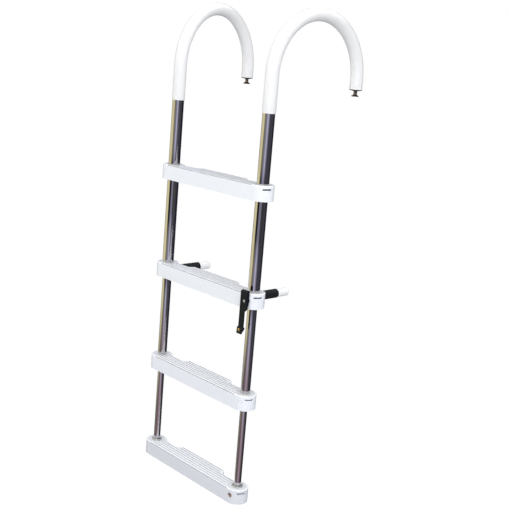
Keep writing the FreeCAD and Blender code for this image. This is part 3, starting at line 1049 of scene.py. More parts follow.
@dataclass(frozen=True)
class BrightRivet(BrownedEyelet):
    """Silvery rivet with a bright crown and painted shade on its rim.

    Attributes:
        axis: X and Z of the rivet's axis.
        crown: Radius of the crown.
        crown_fade: Width over which it gives way to the rim.
        rim: Painted shade on the rim round the crown.
    """

    name: str = "bright_steel"
    colour: Colour = (0.66, 0.74, 0.95)
    worn: Colour = (0.58, 0.64, 0.80)
    axis: tuple[float, float] = (0.2255, -0.531)
    crown: float = 0.0030
    crown_fade: float = 0.0006
    # Painted shade on the rivet's rim round its bright crown
    rim: Colour = (0.10, 0.10, 0.11)

    def tone(self, graph: Graph, plain: Socket) -> Socket:
        """Colour of the plating, with painted shade outside the crown's radius from the rivet's axis.

        Args:
            graph: Node tree of the finish.
            plain: Socket with the plating's colour.

        Returns:
            Socket with the colour.
        """
        x, _, z = graph.axes()
        around = graph.apart(graph.calc("SUBTRACT", x, self.axis[0]), graph.calc("SUBTRACT", z, self.axis[1]))
        # Painted shade outside the crown
        return graph.tint(graph.rise(around, self.crown, self.crown_fade), plain, self.rim)


@dataclass(frozen=True)
class PolishedBrass(Finish):
    """Brass of the latch's button, with browner tarnish in spots."""

    name: str = "brass"
    slot: Slot = Slot.BRASS
    colour: Colour = (0.76, 0.57, 0.24)
    worn: Colour = (0.48, 0.32, 0.13)
    smooth: float = 0.16
    rough: float = 0.34
    wear: Clouds = Clouds(500.0, 4.0)
    cover: Range = (0.45, 0.75)
    grain: Relief = Relief(Clouds(1100.0, 2.0), 0.00002, 0.4)
    metal: float = 1.0


FINISHES = (PolishedTube(), DippedVinyl(), MouldedTread(), TurnedNylon(), GlassyCollar(), DarkPlug(),
            BronzedStud(), BlackRubber(), SleeveRubber(), WhiteBumper(), BrightRivet(), BrownedEyelet(),
            PolishedBrass())


class Finishing:
    """The ladder's finished materials, and how a piece gets one."""

    def __init__(self, nodes: dict[str, Piece]) -> None:
        """Make every finish.

        Args:
            nodes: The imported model's nodes by name.
        """
        self.nodes = nodes
        self.materials = {type(finish): finish.build() for finish in FINISHES}

    def dress(self, piece: Piece, finish: type[Finish]) -> None:
        """Give a piece or node one finish."""
        piece.data.materials.clear()
        piece.data.materials.append(self.materials[finish])

    def place(self, piece: Piece, finish: type[Finish], body: Body, *stands_for: str) -> None:
        """Finish a new piece, let it ride on its section and stand for its nodes, and report it.

        Args:
            piece: The finished mesh object.
            finish: Its finish.
            body: Section that it rides on.
            stands_for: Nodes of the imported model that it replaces.
        """
        self.dress(piece, finish)
        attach(piece, body.value)
        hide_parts(*stands_for)
        LOG.info("%s: %d faces, %s, on %s", piece.name, len(piece.data.polygons), finish.name, body.value)

    def keep(self, finish: type[Finish], *names: str) -> None:
        """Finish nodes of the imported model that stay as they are, and report them.

        Args:
            finish: Their finish.
            names: Names of the nodes.
        """
        for name in names:
            self.dress(self.nodes[name], finish)
            LOG.info("%s: kept, %s", name, finish.name)


# Sub-assemblies


@dataclass(frozen=True)
class Extent:
    """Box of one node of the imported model.

    Attributes:
        low: Lowest corner.
        high: Highest corner.
    """

    low: np.ndarray
    high: np.ndarray

    @classmethod
    def of(cls, node: str) -> "Extent":
        """Box of the node with this name."""
        return cls(*(np.array(corner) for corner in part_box(node)))

    @property
    def middle(self) -> np.ndarray:
        """Middle of the box."""
        return (self.low + self.high) / 2

    @property
    def radius(self) -> float:
        """Radius of a round node: half the box's size along X."""
        return (self.high[0] - self.low[0]) / 2

    def upright(self) -> StraightPath:
        """Upright line through the middle, with distances equal to heights."""
        return StraightPath((self.middle[0], self.middle[1], 0.0))

    def level(self, ahead: float) -> StraightPath:
        """Level line through the middle, with distances equal to Y, or to -Y where ahead is -1."""
        return StraightPath((self.middle[0], 0.0, self.middle[2]), (0.0, ahead, 0.0))


@dataclass
class SubAssembly:
    """Pieces of the ladder that belong together.

    Attributes:
        finishing: The ladder's finishes.
    """

    finishing: Finishing

    def make(self, name: str, path: Path, profile: np.ndarray, closed: bool,
             finish: type[Finish], body: Body, node: str) -> None:
        """Make a piece by carrying a profile along a path, and finish and place it.

        Args:
            name: Name of the piece.
            path: Line that the profile is carried along.
            profile: Rows of (distance along, distance out).
            closed: Whether the profile is a loop.
            finish: The piece's finish.
            body: Section that it rides on.
            node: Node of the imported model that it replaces.
        """
        self.finishing.place(carried(name, path, profile, closed), finish, body, node)


@dataclass
class RailPart(SubAssembly):
    """Pieces that both rails have.

    Attributes:
        side: Left or right rail.
    """

    side: Side

    def named(self, name: str) -> str:
        """Name with the side before it."""
        return f"{self.side.value}_{name}"


@dataclass
class HookedRail(RailPart):
    """One upper rail: tube with its hook, vinyl sleeve, end plate and deck stud.

    Attributes:
        wall_thickness: Wall of the tube.
        fit: Clearance between the tube and its sleeve.
        lip: Rounding of the tube's rims.
        sleeve_lip: Rounding of the sleeve's rims.
        plate_rim: Height of the end plate's straight rim.
        plate_edge: Rounding of that rim's upper edge.
        flank_points: Number of points along the plate's hollow flank.
        neck_radius: Radius of the stud's neck.
        neck: Length of the neck.
        neck_edge: Rounding of its upper end.
        fillet: Rounding between the neck and the cone below it.
        flare: Length of the cone from the neck to the head.
        rim: Length of the head's straight edge.
        rim_edge: Rounding above and below it.
        bevel: Bevel below the head's edge.
        bevel_edge: Rounding below the bevel.
    """

    wall_thickness: float = 0.0012
    fit: float = 0.00005
    lip: float = 0.0003
    sleeve_lip: float = 0.0008
    plate_rim: float = 0.0016
    plate_edge: float = 0.0004
    flank_points: int = 15
    neck_radius: float = 0.0048
    neck: float = 0.0075
    neck_edge: float = 0.0002
    fillet: float = 0.003
    flare: float = 0.0035
    rim: float = 0.0010
    rim_edge: float = 0.0004
    bevel: float = 0.0015
    bevel_edge: float = 0.0005

    def path(self) -> tuple[HookPath, float]:
        """Rail line and tube radius, from the nodes' boxes.

        The tube that slides in the rail gives the long leg's axis, and the end plate the free leg's. The
        radius is the distance from that axis to the front of the rail's box. The bend starts one bend
        radius and one tube radius below the box's top.

        Returns:
            The rail line, and the tube's outside radius.
        """
        box = Extent.of(self.named("hook_rail"))
        rail, tail = Extent.of(self.named("middle_tube")).middle, Extent.of(self.named("end_plate")).middle
        radius = rail[1] - box.low[1]
        bend = math.dist(rail[:2], tail[:2]) / 2
        return HookPath(tuple(rail[:2]), tuple(tail[:2]), box.low[2], box.high[2] - bend - radius), radius

    def build(self) -> None:
        """Make and finish the rail's four pieces."""
        path, radius = self.path()
        plate = Extent.of(self.named("end_plate"))
        free_end = path.length(plate.high[2])
        profile = wall(path, 0.0, free_end, radius, radius - self.wall_thickness, self.lip)
        self.make(self.named("polished_hook_rail"), path, profile, True,
                  PolishedTube, Body.UPPER, self.named("hook_rail"))
        low = Extent.of(self.named("hook_sleeve")).low
        outer = path.rail[1] - low[1]
        profile = wall(path, low[2] - path.foot, free_end, outer, radius + self.fit, self.sleeve_lip)
        self.make(self.named("vinyl_hook_sleeve"), path, profile, True,
                  DippedVinyl, Body.UPPER, self.named("hook_sleeve"))
        self.plate(plate)
        self.stud(plate.upright())

    def plate(self, box: Extent) -> None:
        """End plate: a straight rim, then a hollow flank that sweeps in to the stud's neck.

        The flank's radius falls from the rim's to the neck's along a quarter sine of the way down.

        Args:
            box: The plate's box.
        """
        foot, top, radius = box.low[2], box.high[2], box.radius
        lower = top - self.plate_rim
        down = np.linspace(0.0, 1.0, self.flank_points)
        out = self.neck_radius + (radius - self.neck_radius) * (1 - np.sin(down * math.pi / 2))
        flank = np.stack([lower + (foot - lower) * down, out], axis=1)
        head = rounded([(top, 0.0, 0.0), (top, radius, self.plate_edge), (lower, radius, 0.0)], False)
        profile = np.concatenate([head[:-1], flank, [[foot, 0.0]]])
        self.make(self.named("plug_plate"), box.upright(), profile, False,
                  DarkPlug, Body.UPPER, self.named("end_plate"))

    def stud(self, path: StraightPath) -> None:
        """Deck stud: round neck that widens to a flat head with softened edges.

        Args:
            path: Axis of the end plate, which the stud shares.
        """
        box = Extent.of(self.named("locking_stud"))
        low, high, head = box.low[2], box.high[2], box.radius
        shoulder = high - self.neck - self.flare
        corners = [(high, 0.0, 0.0), (high, self.neck_radius, self.neck_edge),
                   (high - self.neck, self.neck_radius, self.fillet), (shoulder, head, self.rim_edge),
                   (shoulder - self.rim, head, self.rim_edge), (low, head - self.bevel, self.bevel_edge),
                   (low, 0.0, 0.0)]
        self.make(self.named("turned_deck_stud"), path, rounded(corners, False), False,
                  BronzedStud, Body.UPPER, self.named("locking_stud"))


@dataclass
class TelescopeStage(RailPart):
    """Tube of one sliding section, with its stop collar and the bushing that guides it.

    Attributes:
        tube: Name of the sliding tube, middle or lower.
        guide: Name of the bushing that it runs in.
        body: Section that the tube belongs to.
        holder: Section that carries the bushing.
        wall_thickness: Wall of the tubes.
        seat_fit: Radial clearance of a pressed bushing or collar.
        running_fit: Radial clearance of the sliding tube.
        flange: Height of the bushing's flange.
        lip: Rounding of the tube's rims and of the bushing's bore.
        outer_lip: Rounding of the stop collar's and the bushing's outer edges.
    """

    tube: str
    guide: str
    body: Body
    holder: Body
    wall_thickness: float = 0.0012
    seat_fit: float = 0.00005
    running_fit: float = 0.0001
    flange: float = 0.004
    lip: float = 0.0003
    outer_lip: float = 0.0006

    def build(self) -> None:
        """Make and finish the tube, its stop collar and its bushing."""
        name = self.named(self.tube + "_tube")
        box = Extent.of(name)
        radius, path = box.radius, box.upright()
        profile = wall(path, box.low[2], box.high[2], radius, radius - self.wall_thickness, self.lip)
        self.make(name.replace("_tube", "_polished_tube"), path, profile, True,
                  PolishedTube, self.body, name)
        name = self.named(self.tube + "_stop")
        box = Extent.of(name)
        profile = wall(path, box.low[2], box.high[2], box.radius, radius + self.seat_fit, self.outer_lip)
        self.make(name + "_collar", path, profile, True, TurnedNylon, self.body, name)
        self.bushing(path, radius + self.running_fit)

    def bushing(self, path: StraightPath, bore: float) -> None:
        """Flanged bushing: the barrel sits in the outer tube and the flange closes its end.

        Args:
            path: Axis of the rail.
            bore: Radius of the running bore.
        """
        name = self.named(self.guide + "_guide")
        box = Extent.of(name)
        low, high, rim = box.low[2], box.high[2], box.radius
        barrel, ledge = rim - self.wall_thickness - self.seat_fit, low + self.flange
        corners = [(low, bore, self.lip), (low, rim, self.outer_lip), (ledge, rim, 0.0), (ledge, barrel, 0.0),
                   (high, barrel, self.outer_lip), (high, bore, self.lip)]
        self.make(name + "_bushing", path, rounded(corners, True), True, TurnedNylon, self.holder, name)


@dataclass
class FootFitting(RailPart):
    """Raised collar on the bottom step and the plug below it.

    Attributes:
        seat_fit: Radial clearance of the pressed collar and plug.
        wall_thickness: Wall of the lower tube.
        cap: Height of the plug's cap.
        lip: Rounding of the collar's rims and of the cap's lower edge.
        cap_edge: Rounding of the cap's upper edge.
        stem_edge: Rounding of the plug's upper end.
    """

    seat_fit: float = 0.00005
    wall_thickness: float = 0.0012
    cap: float = 0.004
    lip: float = 0.0012
    cap_edge: float = 0.0003
    stem_edge: float = 0.001

    def build(self) -> None:
        """Make and finish the collar and the plug."""
        box = Extent.of(self.named("lower_tube"))
        radius, path = box.radius, box.upright()
        box = Extent.of(self.named("foot_collar"))
        profile = wall(path, box.low[2], box.high[2], box.radius, radius + self.seat_fit, self.lip)
        self.make(self.named("raised_foot_collar"), path, profile, True,
                  GlassyCollar, Body.LOWER, self.named("foot_collar"))
        box = Extent.of(self.named("tube_plug"))
        low, high = box.low[2], box.high[2]
        stem, ledge = radius - self.wall_thickness - self.seat_fit, low + self.cap
        corners = [(low, 0.0, 0.0), (low, radius, self.lip), (ledge, radius, self.cap_edge),
                   (ledge, stem, 0.0), (high, stem, self.stem_edge), (high, 0.0, 0.0)]
        self.make(self.named("tube_end_plug"), path, rounded(corners, False), False,
                  TurnedNylon, Body.LOWER, self.named("tube_plug"))


@dataclass
class Standoff(RailPart):
    """Ribbed rubber sleeve and rounded bumper behind the second step.

    Attributes:
        stem: Radius of the bumper's stem inside the sleeve.
        fit: Clearance round the stem.
        rib_depth: Height of the ribs.
        ribs: Number of ribs.
        rib_points: Points along each of them.
        crest: How steeply the ribs' flanks rise.
        plain_end: Length without ribs at the outer end.
        swell: Length over which that end swells from the last groove.
        socket: Length that sits in the step.
        sleeve_round: Rounding of the sleeve's outer end.
        shoulder: Rounding of the bumper's inner edge.
        nose: Rounding of the bumper's end.
        round_points: Points along the sleeve's swell and rounding.
        nose_steps: Parts of the bumper's roundings.
    """

    stem: float = 0.006
    fit: float = 0.00005
    rib_depth: float = 0.0009
    ribs: int = 9
    rib_points: int = 24
    crest: float = 1.6
    plain_end: float = 0.012
    swell: float = 0.0012
    socket: float = 0.005
    sleeve_round: float = 0.0025
    shoulder: float = 0.0008
    nose: float = 0.0035
    round_points: int = 9
    nose_steps: int = 12

    def build(self) -> None:
        """Make and finish the sleeve and the bumper."""
        box = Extent.of(self.named("standoff_sleeve"))
        path, start, end = box.level(1.0), box.low[1], box.high[1]
        profile = self.sleeve_profile(start, end, box.radius)
        self.make(self.named("ribbed_standoff_sleeve"), path, profile, True,
                  SleeveRubber, Body.UPPER, self.named("standoff_sleeve"))
        box = Extent.of(self.named("standoff_tip"))
        tip, crown = box.radius, box.high[1]
        corners = [(start, 0.0, 0.0), (start, self.stem, 0.0), (end, self.stem, 0.0),
                   (end, tip, self.shoulder), (crown, tip, self.nose), (crown, 0.0, 0.0)]
        profile = rounded(corners, False, self.nose_steps)
        self.make(self.named("white_standoff_bumper"), path, profile, False,
                  WhiteBumper, Body.UPPER, self.named("standoff_tip"))

    def sleeve_profile(self, start: float, end: float, outer: float) -> np.ndarray:
        """Closed profile of the sleeve.

        A rib's height is 0 to 1 along the smooth step of 0.5 - crest * cos(turns), with one full turn for
        each rib, so crests are flat and flanks soft. Past the last groove the radius rises along a smooth
        step too, and the outer end is a quarter circle.

        Args:
            start: Distance of the end inside the step.
            end: Distance of the outer end.
            outer: Radius over the ribs.

        Returns:
            Rows of (distance along, distance out).
        """
        root, bore = outer - self.rib_depth, self.stem + self.fit
        first, last = start + self.socket, end - self.plain_end
        s = np.linspace(first, last, self.rib_points * self.ribs + 1)
        turns = 2 * math.pi * self.ribs * (s - last) / (last - first)
        ribs = np.stack([s, root + self.rib_depth * eased(0.5 - self.crest * np.cos(turns))], axis=1)
        rise = np.linspace(0.0, 1.0, self.round_points)[1:]
        swell = np.stack([last + self.swell * rise, root + self.rib_depth * eased(rise)], axis=1)
        turn = np.linspace(0.0, math.pi / 2, self.round_points)
        nose = np.stack([end - self.sleeve_round * (1 - np.sin(turn)),
                         outer - self.sleeve_round * (1 - np.cos(turn))], axis=1)
        return np.concatenate([[[start, bore], [start, root]], ribs, swell, nose, [[end, bore]]])


@dataclass
class Latch(SubAssembly):
    """Rubber strap on its rivet, with the brass button that snaps into the plated eyelet.

    Attributes:
        shank: Radius of the rivet's shank.
        washer: Radius of its washer and head.
        rivet_depth: Length of the shank in the step.
        washer_end: Distance of the washer's face behind the strap, from the plane of the rails.
        back_edge: Rounding of the shank's end and of the washer's back.
        face_edge: Rounding of the washer's face.
        head_lip: Rounding below the head's straight edge.
        head_edge: Height of that edge.
        head_height: Height of the whole head.
        rivet_steps: Parts of the rivet's roundings.
        button_edge: Height of the button's domed cap.
        eyelet_wall: Wall of the eyelet.
        eyelet_back: Rounding of its back edges.
        eyelet_rim: Rounding of its mouth outside.
        eyelet_mouth: Rounding of its mouth inside.
        eyelet_steps: Parts of those roundings.
    """

    shank: float = 0.0025
    washer: float = 0.005
    rivet_depth: float = 0.008
    washer_end: float = 0.031
    back_edge: float = 0.0003
    face_edge: float = 0.0004
    head_lip: float = 0.0002
    head_edge: float = 0.0007
    head_height: float = 0.0025
    rivet_steps: int = 4
    button_edge: float = 0.0012
    eyelet_wall: float = 0.0030
    eyelet_back: float = 0.0002
    eyelet_rim: float = 0.0009
    eyelet_mouth: float = 0.0014
    eyelet_steps: int = 8

    def build(self) -> None:
        """Finish the strap, and make and finish the rivet, the button and the eyelet."""
        self.finishing.keep(BlackRubber, "latch_strap")
        self.rivet(Extent.of("right_lower_tube").middle[1])
        self.button()
        self.eyelet()

    def rivet(self, rail_plane: float) -> None:
        """Rivet: shank, washer against the step and a domed head with a rolled edge.

        Args:
            rail_plane: Y of the plane of the rails.
        """
        box = Extent.of("latch_rivet")
        tail, tip = -box.high[1], -box.low[1]
        seat, face = tail + self.rivet_depth, self.washer_end - rail_plane
        under = tip - self.head_height
        edge = under + self.head_edge
        corners = [(tail, 0.0, 0.0), (tail, self.shank, self.back_edge), (seat, self.shank, 0.0),
                   (seat, self.washer, self.back_edge), (face, self.washer, self.face_edge),
                   (face, self.shank, 0.0), (under, self.shank, 0.0), (under, self.washer, self.head_lip),
                   (edge, self.washer, 0.0)]
        profile = np.concatenate([rounded(corners, False, self.rivet_steps), dome(edge, tip, self.washer)])
        self.make("latch_domed_rivet", box.level(-1.0), profile, False,
                  BrightRivet, Body.UPPER, "latch_rivet")

    def button(self) -> None:
        """Button: straight shank under a domed cap."""
        box = Extent.of("latch_button")
        tail, tip, radius = -box.high[1], -box.low[1], box.radius
        edge = tip - self.button_edge
        profile = np.concatenate([[[tail, 0.0], [tail, radius], [edge, radius]], dome(edge, tip, radius)])
        self.make("latch_brass_button", box.level(-1.0), profile, False,
                  PolishedBrass, Body.LATCH, "latch_button")

    def eyelet(self) -> None:
        """Eyelet: short pipe with a rolled, rounded mouth."""
        box = Extent.of("latch_eyelet")
        back, mouth, radius = -box.high[1], -box.low[1], box.radius
        bore = radius - self.eyelet_wall
        corners = [(back, bore, self.eyelet_back), (back, radius, self.eyelet_back),
                   (mouth, radius, self.eyelet_rim), (mouth, bore, self.eyelet_mouth)]
        profile = rounded(corners, True, self.eyelet_steps)
        self.make("latch_bright_eyelet", box.level(-1.0), profile, True,
                  BrownedEyelet, Body.LOWER, "latch_eyelet")


@dataclass
class Treads(SubAssembly):
    """The four moulded steps, whose packed surfaces stay.

    Attributes:
        names: Nodes of the steps from top to bottom.
    """

    names: tuple[str, ...] = ("top_step", "second_step", "third_step", "bottom_step")

    def build(self) -> None:
        """Finish the steps."""
        self.finishing.keep(MouldedTread, *self.names)


# Studio


def posed(right: np.ndarray, up: np.ndarray, back: np.ndarray, place: Point) -> Matrix:
    """Placement whose columns are the right, up and back directions and the place.

    Args:
        right: Direction of local +X.
        up: Direction of local +Y.
        back: Direction of local +Z.
        place: Origin.

    Returns:
        The 4 by 4 matrix.
    """
    matrix = np.eye(4)
    matrix[:3] = np.stack([right, up, back, place], axis=1)
    return Matrix(matrix.tolist())


@dataclass(frozen=True)
class Softbox:
    """One soft lamp.

    Attributes:
        name: Name of the lamp.
        place: Where it hangs.
        power: Power in watts.
        size: Edge of its square face.
    """

    name: str
    place: Point
    power: float
    size: float = 1.8

    def hang(self, aim: Point) -> None:
        """Hang the lamp and turn it to its aim.

        The lamp's local +Z is the unit vector from the aim to the lamp, and its X lies level.

        Args:
            aim: Point that it shines at.
        """
        lamp = bpy.data.lights.new(self.name, "AREA")
        lamp.shape = "SQUARE"
        lamp.size = self.size
        lamp.energy = self.power
        back = unit(np.array(self.place) - np.array(aim))
        right = unit(np.cross([0.0, 0.0, 1.0], back))
        linked(self.name, lamp).matrix_world = posed(right, np.cross(back, right), back, self.place)


@dataclass(frozen=True)
class Viewpoint:
    """Camera of the photograph.

    Attributes:
        azimuth: Bearing of the camera, 0 looking along +Y.
        elevation: Height of the camera above the horizon.
        roll: Turn of the frame to the left.
        place: Where it stands.
        lens: Focal length in millimetres.
        sensor: Width of the sensor in millimetres.
        farthest: Distance past which nothing is seen.
    """

    azimuth: float = 45.9403
    elevation: float = 12.3671
    roll: float = 4.8197
    place: Point = (1.81199, -1.86987, 0.07301)
    lens: float = 64.147
    sensor: float = 36.0
    farthest: float = 60.0

    def set_up(self) -> None:
        """Make the scene's camera.

        Back is (sin a cos e, -cos a cos e, sin e), level right is (cos a, sin a, 0), and the roll turns
        right and up about back.
        """
        a, e, r = (math.radians(angle) for angle in (self.azimuth, self.elevation, self.roll))
        back = np.array([math.sin(a) * math.cos(e), -math.cos(a) * math.cos(e), math.sin(e)])
        level = np.array([math.cos(a), math.sin(a), 0.0])
        upright = np.cross(back, level)
        right = math.cos(r) * level + math.sin(r) * upright
        up = math.cos(r) * upright - math.sin(r) * level
        data = bpy.data.cameras.new("photo_camera")
        data.sensor_width = self.sensor
        data.lens = self.lens
        data.clip_end = self.farthest
        camera = linked("photo_camera", data)
        camera.matrix_world = posed(right, up, back, self.place)
        bpy.context.scene.camera = camera


@dataclass(frozen=True)
class Band:
    """One upright band of the room that the polished tubes mirror.

    Attributes:
        high: Bearings of its two edges at the ladder's height, from the camera's bearing to its right.
        low: Bearings of its two edges near the floor.
        bright: Colour at the ladder's height.
        dim: Colour near the floor.
        soft: Width of its soft edges in degrees.
        levels: Heights between which it is laid.
        fade: Height over which its two ends are soft.
        knee: Height below which it starts to change to its state near the floor.
        drop: Height over which it does.
    """

    high: Range
    low: Range
    bright: Colour
    dim: Colour
    soft: float = 8.0
    levels: Range = (-9.0, 9.0)
    fade: float = 0.2
    knee: float = -1.2
    drop: float = 0.9

    def paint(self, colours: np.ndarray, bearing: np.ndarray, height: np.ndarray) -> None:
        """Lay the band over the colours of the wall.

        The cover at a bearing b is ease((b - first) / soft + 0.5) * ease((last - b) / soft + 0.5), where
        ease is the smooth step, and it fades in the same way over a height at the lowest and highest
        level. Edges and colour go from the first state to the second by ease((knee - height) / drop).

        Args:
            colours: Wall colours by row and column, changed in place.
            bearing: Bearing of each column in degrees.
            height: Height of each row.
        """
        level = eased((self.knee - height) / self.drop)[:, None]
        lowest, highest = self.levels
        held = eased((height - lowest) / self.fade + 0.5) * eased((highest - height) / self.fade + 0.5)
        first = self.high[0] + (self.low[0] - self.high[0]) * level
        last = self.high[1] + (self.low[1] - self.high[1]) * level
        cover = eased((bearing - first) / self.soft + 0.5) * eased((last - bearing) / self.soft + 0.5)
        tone = np.array(self.bright) + (np.array(self.dim) - np.array(self.bright)) * level
        colours += (cover * held[:, None])[..., None] * (tone[:, None] - colours)


@dataclass
class Studio:
    """Pale floor, soft lamps, white surroundings and the room that the polished tubes mirror.

    Attributes:
        viewpoint: Camera of the photograph.
        lamps: Soft lamps.
        aim: Point that the lamps shine at.
        surround: Light of the white surroundings on the ladder.
        floor_height: Height of the floor below the hanging ladder.
        floor_rings: Radii of the floor's rings of vertices, out to its edge.
        floor_tone: Colour of the floor.
        floor_shade: Colour of its darker clouds.
        floor_clouds: Pattern of those.
        floor_rough: Roughness of the floor.
        floor_gloss: Strength of its reflections.
        floor_lift: Glow that makes the lit floor white for seen rays.
        foot: X and Y of the ladder's foot, round which the floor is lit.
        glow_reach: Distances from there between which the white glow grows.
        room_middle: X and Y of the middle of the mirrored room.
        room_radius: Radius of its wall.
        room_height: Lowest and highest point of that wall.
        room_rows: Rings of the wall's vertices.
        room_columns: Vertices of each ring.
        dark: Colour of the wall between its bands.
        bands: Bands of the wall, each laid over the ones before it.
    """

    viewpoint: Viewpoint = field(default_factory=Viewpoint)
    lamps: tuple[Softbox, ...] = (
        Softbox("key_softbox", (1.15, -2.55, 1.70), 36.0),
        Softbox("right_softbox", (2.60, -1.00, 1.70), 36.0),
        Softbox("left_softbox", (-2.60, -1.10, 1.70), 13.0),
        Softbox("back_softbox", (1.20, 2.30, 1.70), 8.0),
    )
    aim: Point = (0.0, -0.2, -0.25)
    surround: Colour = (0.66, 0.665, 0.68)
    floor_height: float = -1.55
    floor_rings: tuple[float, ...] = (0.5, 1.0, 2.0, 4.0, 9.0)
    floor_tone: Colour = (0.64, 0.64, 0.64)
    floor_shade: Colour = (0.61, 0.61, 0.615)
    floor_clouds: Clouds = Clouds(3.0, 3.0)
    floor_rough: float = 0.9
    floor_gloss: float = 0.1
    floor_lift: float = 0.45
    foot: tuple[float, float] = (0.0, -0.25)
    glow_reach: Range = (0.5, 1.6)
    room_middle: tuple[float, float] = (0.036, -0.313)
    room_radius: float = 2.6
    room_height: Range = (-3.6, 1.2)
    room_rows: int = 49
    room_columns: int = 360
    dark: Colour = (0.075, 0.075, 0.095)
    bands: tuple[Band, ...] = (
        Band((-70, -20), (-80, -30), (0.27, 0.25, 0.20), (0.17, 0.13, 0.125), 10.0),
        Band((-135, -64), (-135, -74), (0.95, 0.87, 0.50), (0.27, 0.25, 0.21)),
        Band((-32, 26), (-40, 52), (0.32, 0.31, 0.39), (0.26, 0.20, 0.22), 12.0),
        Band((-12, 8), (-16, 30), (0.68, 0.67, 0.88), (0.48, 0.34, 0.41), 10.0),
        Band((-66, -24), (-66, -24), (0.02, 0.018, 0.02), (0.02, 0.018, 0.02), 12.0, (-1.18, -0.66)),
        Band((-24, 9), (-24, 9), (0.28, 0.27, 0.36), (0.28, 0.27, 0.36), 10.0, (-1.18, -0.66)),
        Band((12, 100), (12, 100), (0.06, 0.06, 0.07), (0.06, 0.06, 0.07), 12.0, (-1.18, -0.66)),
        Band((68, 84), (62, 84), (0.075, 0.075, 0.095), (0.08, 0.065, 0.07)),
        Band((96, 146), (92, 146), (0.02, 0.022, 0.032), (0.03, 0.025, 0.03)),
        Band((160, 176), (150, 176), (0.16, 0.16, 0.20), (0.16, 0.14, 0.16), 10.0),
        Band((-176, -160), (-176, -150), (0.50, 0.49, 0.66), (0.40, 0.33, 0.38), 10.0),
    )

    def build(self) -> None:
        """Set up the camera, lamps, surroundings, floor and mirrored room."""
        self.viewpoint.set_up()
        for lamp in self.lamps:
            lamp.hang(self.aim)
        self.surroundings()
        self.floor()
        self.room()
        bpy.context.scene.view_settings.view_transform = "Standard"

    def surroundings(self) -> None:
        """White for the eye and for mirrors; the set light for everything else."""
        world = bpy.data.worlds.new("white_surroundings")
        bpy.context.scene.world = world
        world.use_nodes = True
        tree = world.node_tree
        tree.nodes.clear()
        mix = tree.nodes.new("ShaderNodeMix")
        mix.data_type = "RGBA"
        mix.inputs[6].default_value = (*self.surround, 1.0)
        mix.inputs[7].default_value = (1.0, 1.0, 1.0, 1.0)
        background = tree.nodes.new("ShaderNodeBackground")
        output = tree.nodes.new("ShaderNodeOutputWorld")
        tree.links.new(self.seen(tree), mix.inputs[0])
        tree.links.new(mix.outputs[2], background.inputs["Color"])
        tree.links.new(background.outputs[0], output.inputs["Surface"])

    @staticmethod
    def seen(tree: bpy.types.NodeTree) -> Socket:
        """Greatest of the camera, glossy and transmission ray flags of a tree's Light Path.

        Args:
            tree: Node tree that gets the nodes.

        Returns:
            Socket that is 1 for seen rays and 0 for others.
        """
        path = tree.nodes.new("ShaderNodeLightPath")
        greatest = path.outputs["Is Camera Ray"]
        for kind in ("Is Glossy Ray", "Is Transmission Ray"):
            step = tree.nodes.new("ShaderNodeMath")
            step.operation = "MAXIMUM"
            tree.links.new(greatest, step.inputs[0])
            tree.links.new(path.outputs[kind], step.inputs[1])
            greatest = step.outputs[0]
        return greatest

    def floor(self) -> None:
        """Round floor of rings about a middle vertex: x, y = radius * (cos, sin) of the turn."""
        rings = len(self.floor_rings)
        turn = np.linspace(0.0, 2 * math.pi, AROUND, endpoint=False)
        around = np.stack([np.cos(turn), np.sin(turn)], axis=1)
        flat = np.array(self.floor_rings)[:, None, None] * around
        verts = np.full((rings * AROUND + 1, 3), self.floor_height)
        verts[:-1, :2] = flat.reshape(-1, 2)
        verts[-1, :2] = 0.0
        column = np.arange(AROUND)
        fans = np.stack([np.full(AROUND, rings * AROUND), column, (column + 1) % AROUND], axis=1)
        floor = surface("studio_floor", verts, ring_quads(rings, AROUND)[:, ::-1], fans)
        floor.visible_glossy = False
        floor.data.materials.append(self.floor_finish())

    def floor_finish(self) -> bpy.types.Material:
        """Pale floor, lit near the ladder and blending into the white surroundings farther out.

        For seen rays its white glow grows from 0 to 1 with the distance from the ladder's foot, so the
        shadow stays and no edge shows. From below it is clear.

        Returns:
            The material.
        """
        graph = Graph("pale_studio_floor")
        graph.set(Roughness=self.floor_rough, Specular_IOR_Level=self.floor_gloss)
        clouds = graph.noise(self.floor_clouds)
        graph.feed("Base Color", graph.tint(clouds, self.floor_tone, self.floor_shade))
        distance = graph.node("VectorMath")
        distance.operation = "DISTANCE"
        graph.link(graph.place, distance.inputs[0])
        distance.inputs[1].default_value = (*self.foot, self.floor_height)
        seen = self.seen(graph.tree)
        far = graph.product(graph.span(distance.outputs["Value"], self.glow_reach), seen)
        glow, lift = graph.node("Emission"), graph.node("Emission")
        graph.link(graph.product(seen, self.floor_lift), lift.inputs["Strength"])
        lifted = graph.join("AddShader", graph.shader.outputs[0], lift.outputs[0])
        lit = graph.join("MixShader", far, lifted, glow.outputs[0])
        below = graph.node("NewGeometry").outputs["Backfacing"]
        clear = graph.node("BsdfTransparent").outputs[0]
        graph.link(graph.join("MixShader", below, lit, clear), graph.surface)
        return graph.material

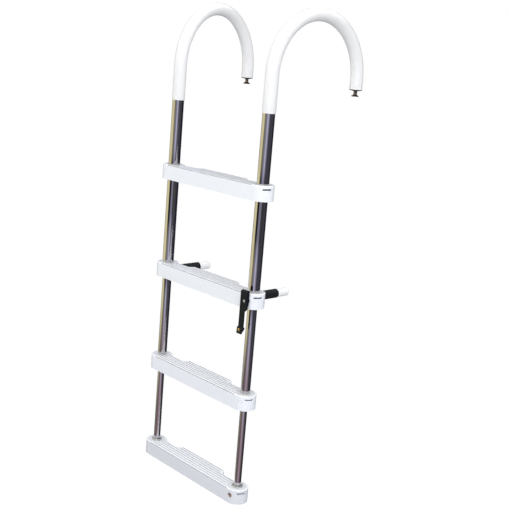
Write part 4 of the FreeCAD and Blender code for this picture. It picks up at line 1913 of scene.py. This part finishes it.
    def room(self) -> None:
        """Round wall that only mirrors show, with its tan, grey, lavender and dark bands.

        A vertex lies at the room's middle plus radius * (sin, -cos) of the camera's bearing plus its own.
        """
        bearing = np.linspace(-180.0, 180.0, self.room_columns, endpoint=False)
        height = np.linspace(*self.room_height, self.room_rows)
        turn = np.radians(self.viewpoint.azimuth + bearing)
        grid = np.empty((self.room_rows, self.room_columns, 3))
        grid[..., 0] = self.room_middle[0] + self.room_radius * np.sin(turn)
        grid[..., 1] = self.room_middle[1] - self.room_radius * np.cos(turn)
        grid[..., 2] = height[:, None]
        colours = np.ones((self.room_rows, self.room_columns, 4))
        colours[..., :3] = self.dark
        for band in self.bands:
            band.paint(colours[..., :3], bearing, height)
        quads = ring_quads(self.room_rows, self.room_columns)
        wall_object = surface("mirrored_room", grid.reshape(-1, 3), quads, NO_FANS)
        wall_object.data.shade_smooth()
        layer = wall_object.data.color_attributes.new("bands", "FLOAT_COLOR", "POINT")
        layer.data.foreach_set("color", colours.ravel())
        for rays in ("camera", "diffuse", "transmission", "volume_scatter", "shadow"):
            setattr(wall_object, "visible_" + rays, False)
        wall_object.data.materials.append(self.room_finish())

    @staticmethod
    def room_finish() -> bpy.types.Material:
        """Glow in the colours of the wall's bands.

        Returns:
            The material.
        """
        graph = Graph("mirrored_room")
        bands = graph.node("Attribute")
        bands.attribute_name = "bands"
        glow = graph.node("Emission")
        graph.link(bands.outputs["Color"], glow.inputs["Color"])
        graph.link(glow.outputs[0], graph.surface)
        return graph.material


def main() -> None:
    """Load the frame, build and finish every sub-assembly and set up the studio."""
    logging.basicConfig(level=logging.INFO, format="%(name)s: %(message)s")
    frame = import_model()
    finishing = Finishing(frame["nodes"])
    Treads(finishing).build()
    for side in Side:
        HookedRail(finishing, side).build()
        TelescopeStage(finishing, side, "middle", "upper", Body.MIDDLE, Body.UPPER).build()
        TelescopeStage(finishing, side, "lower", "middle", Body.LOWER, Body.MIDDLE).build()
        FootFitting(finishing, side).build()
        Standoff(finishing, side).build()
    Latch(finishing).build()
    Studio().build()


if __name__ == "__main__":
    main()
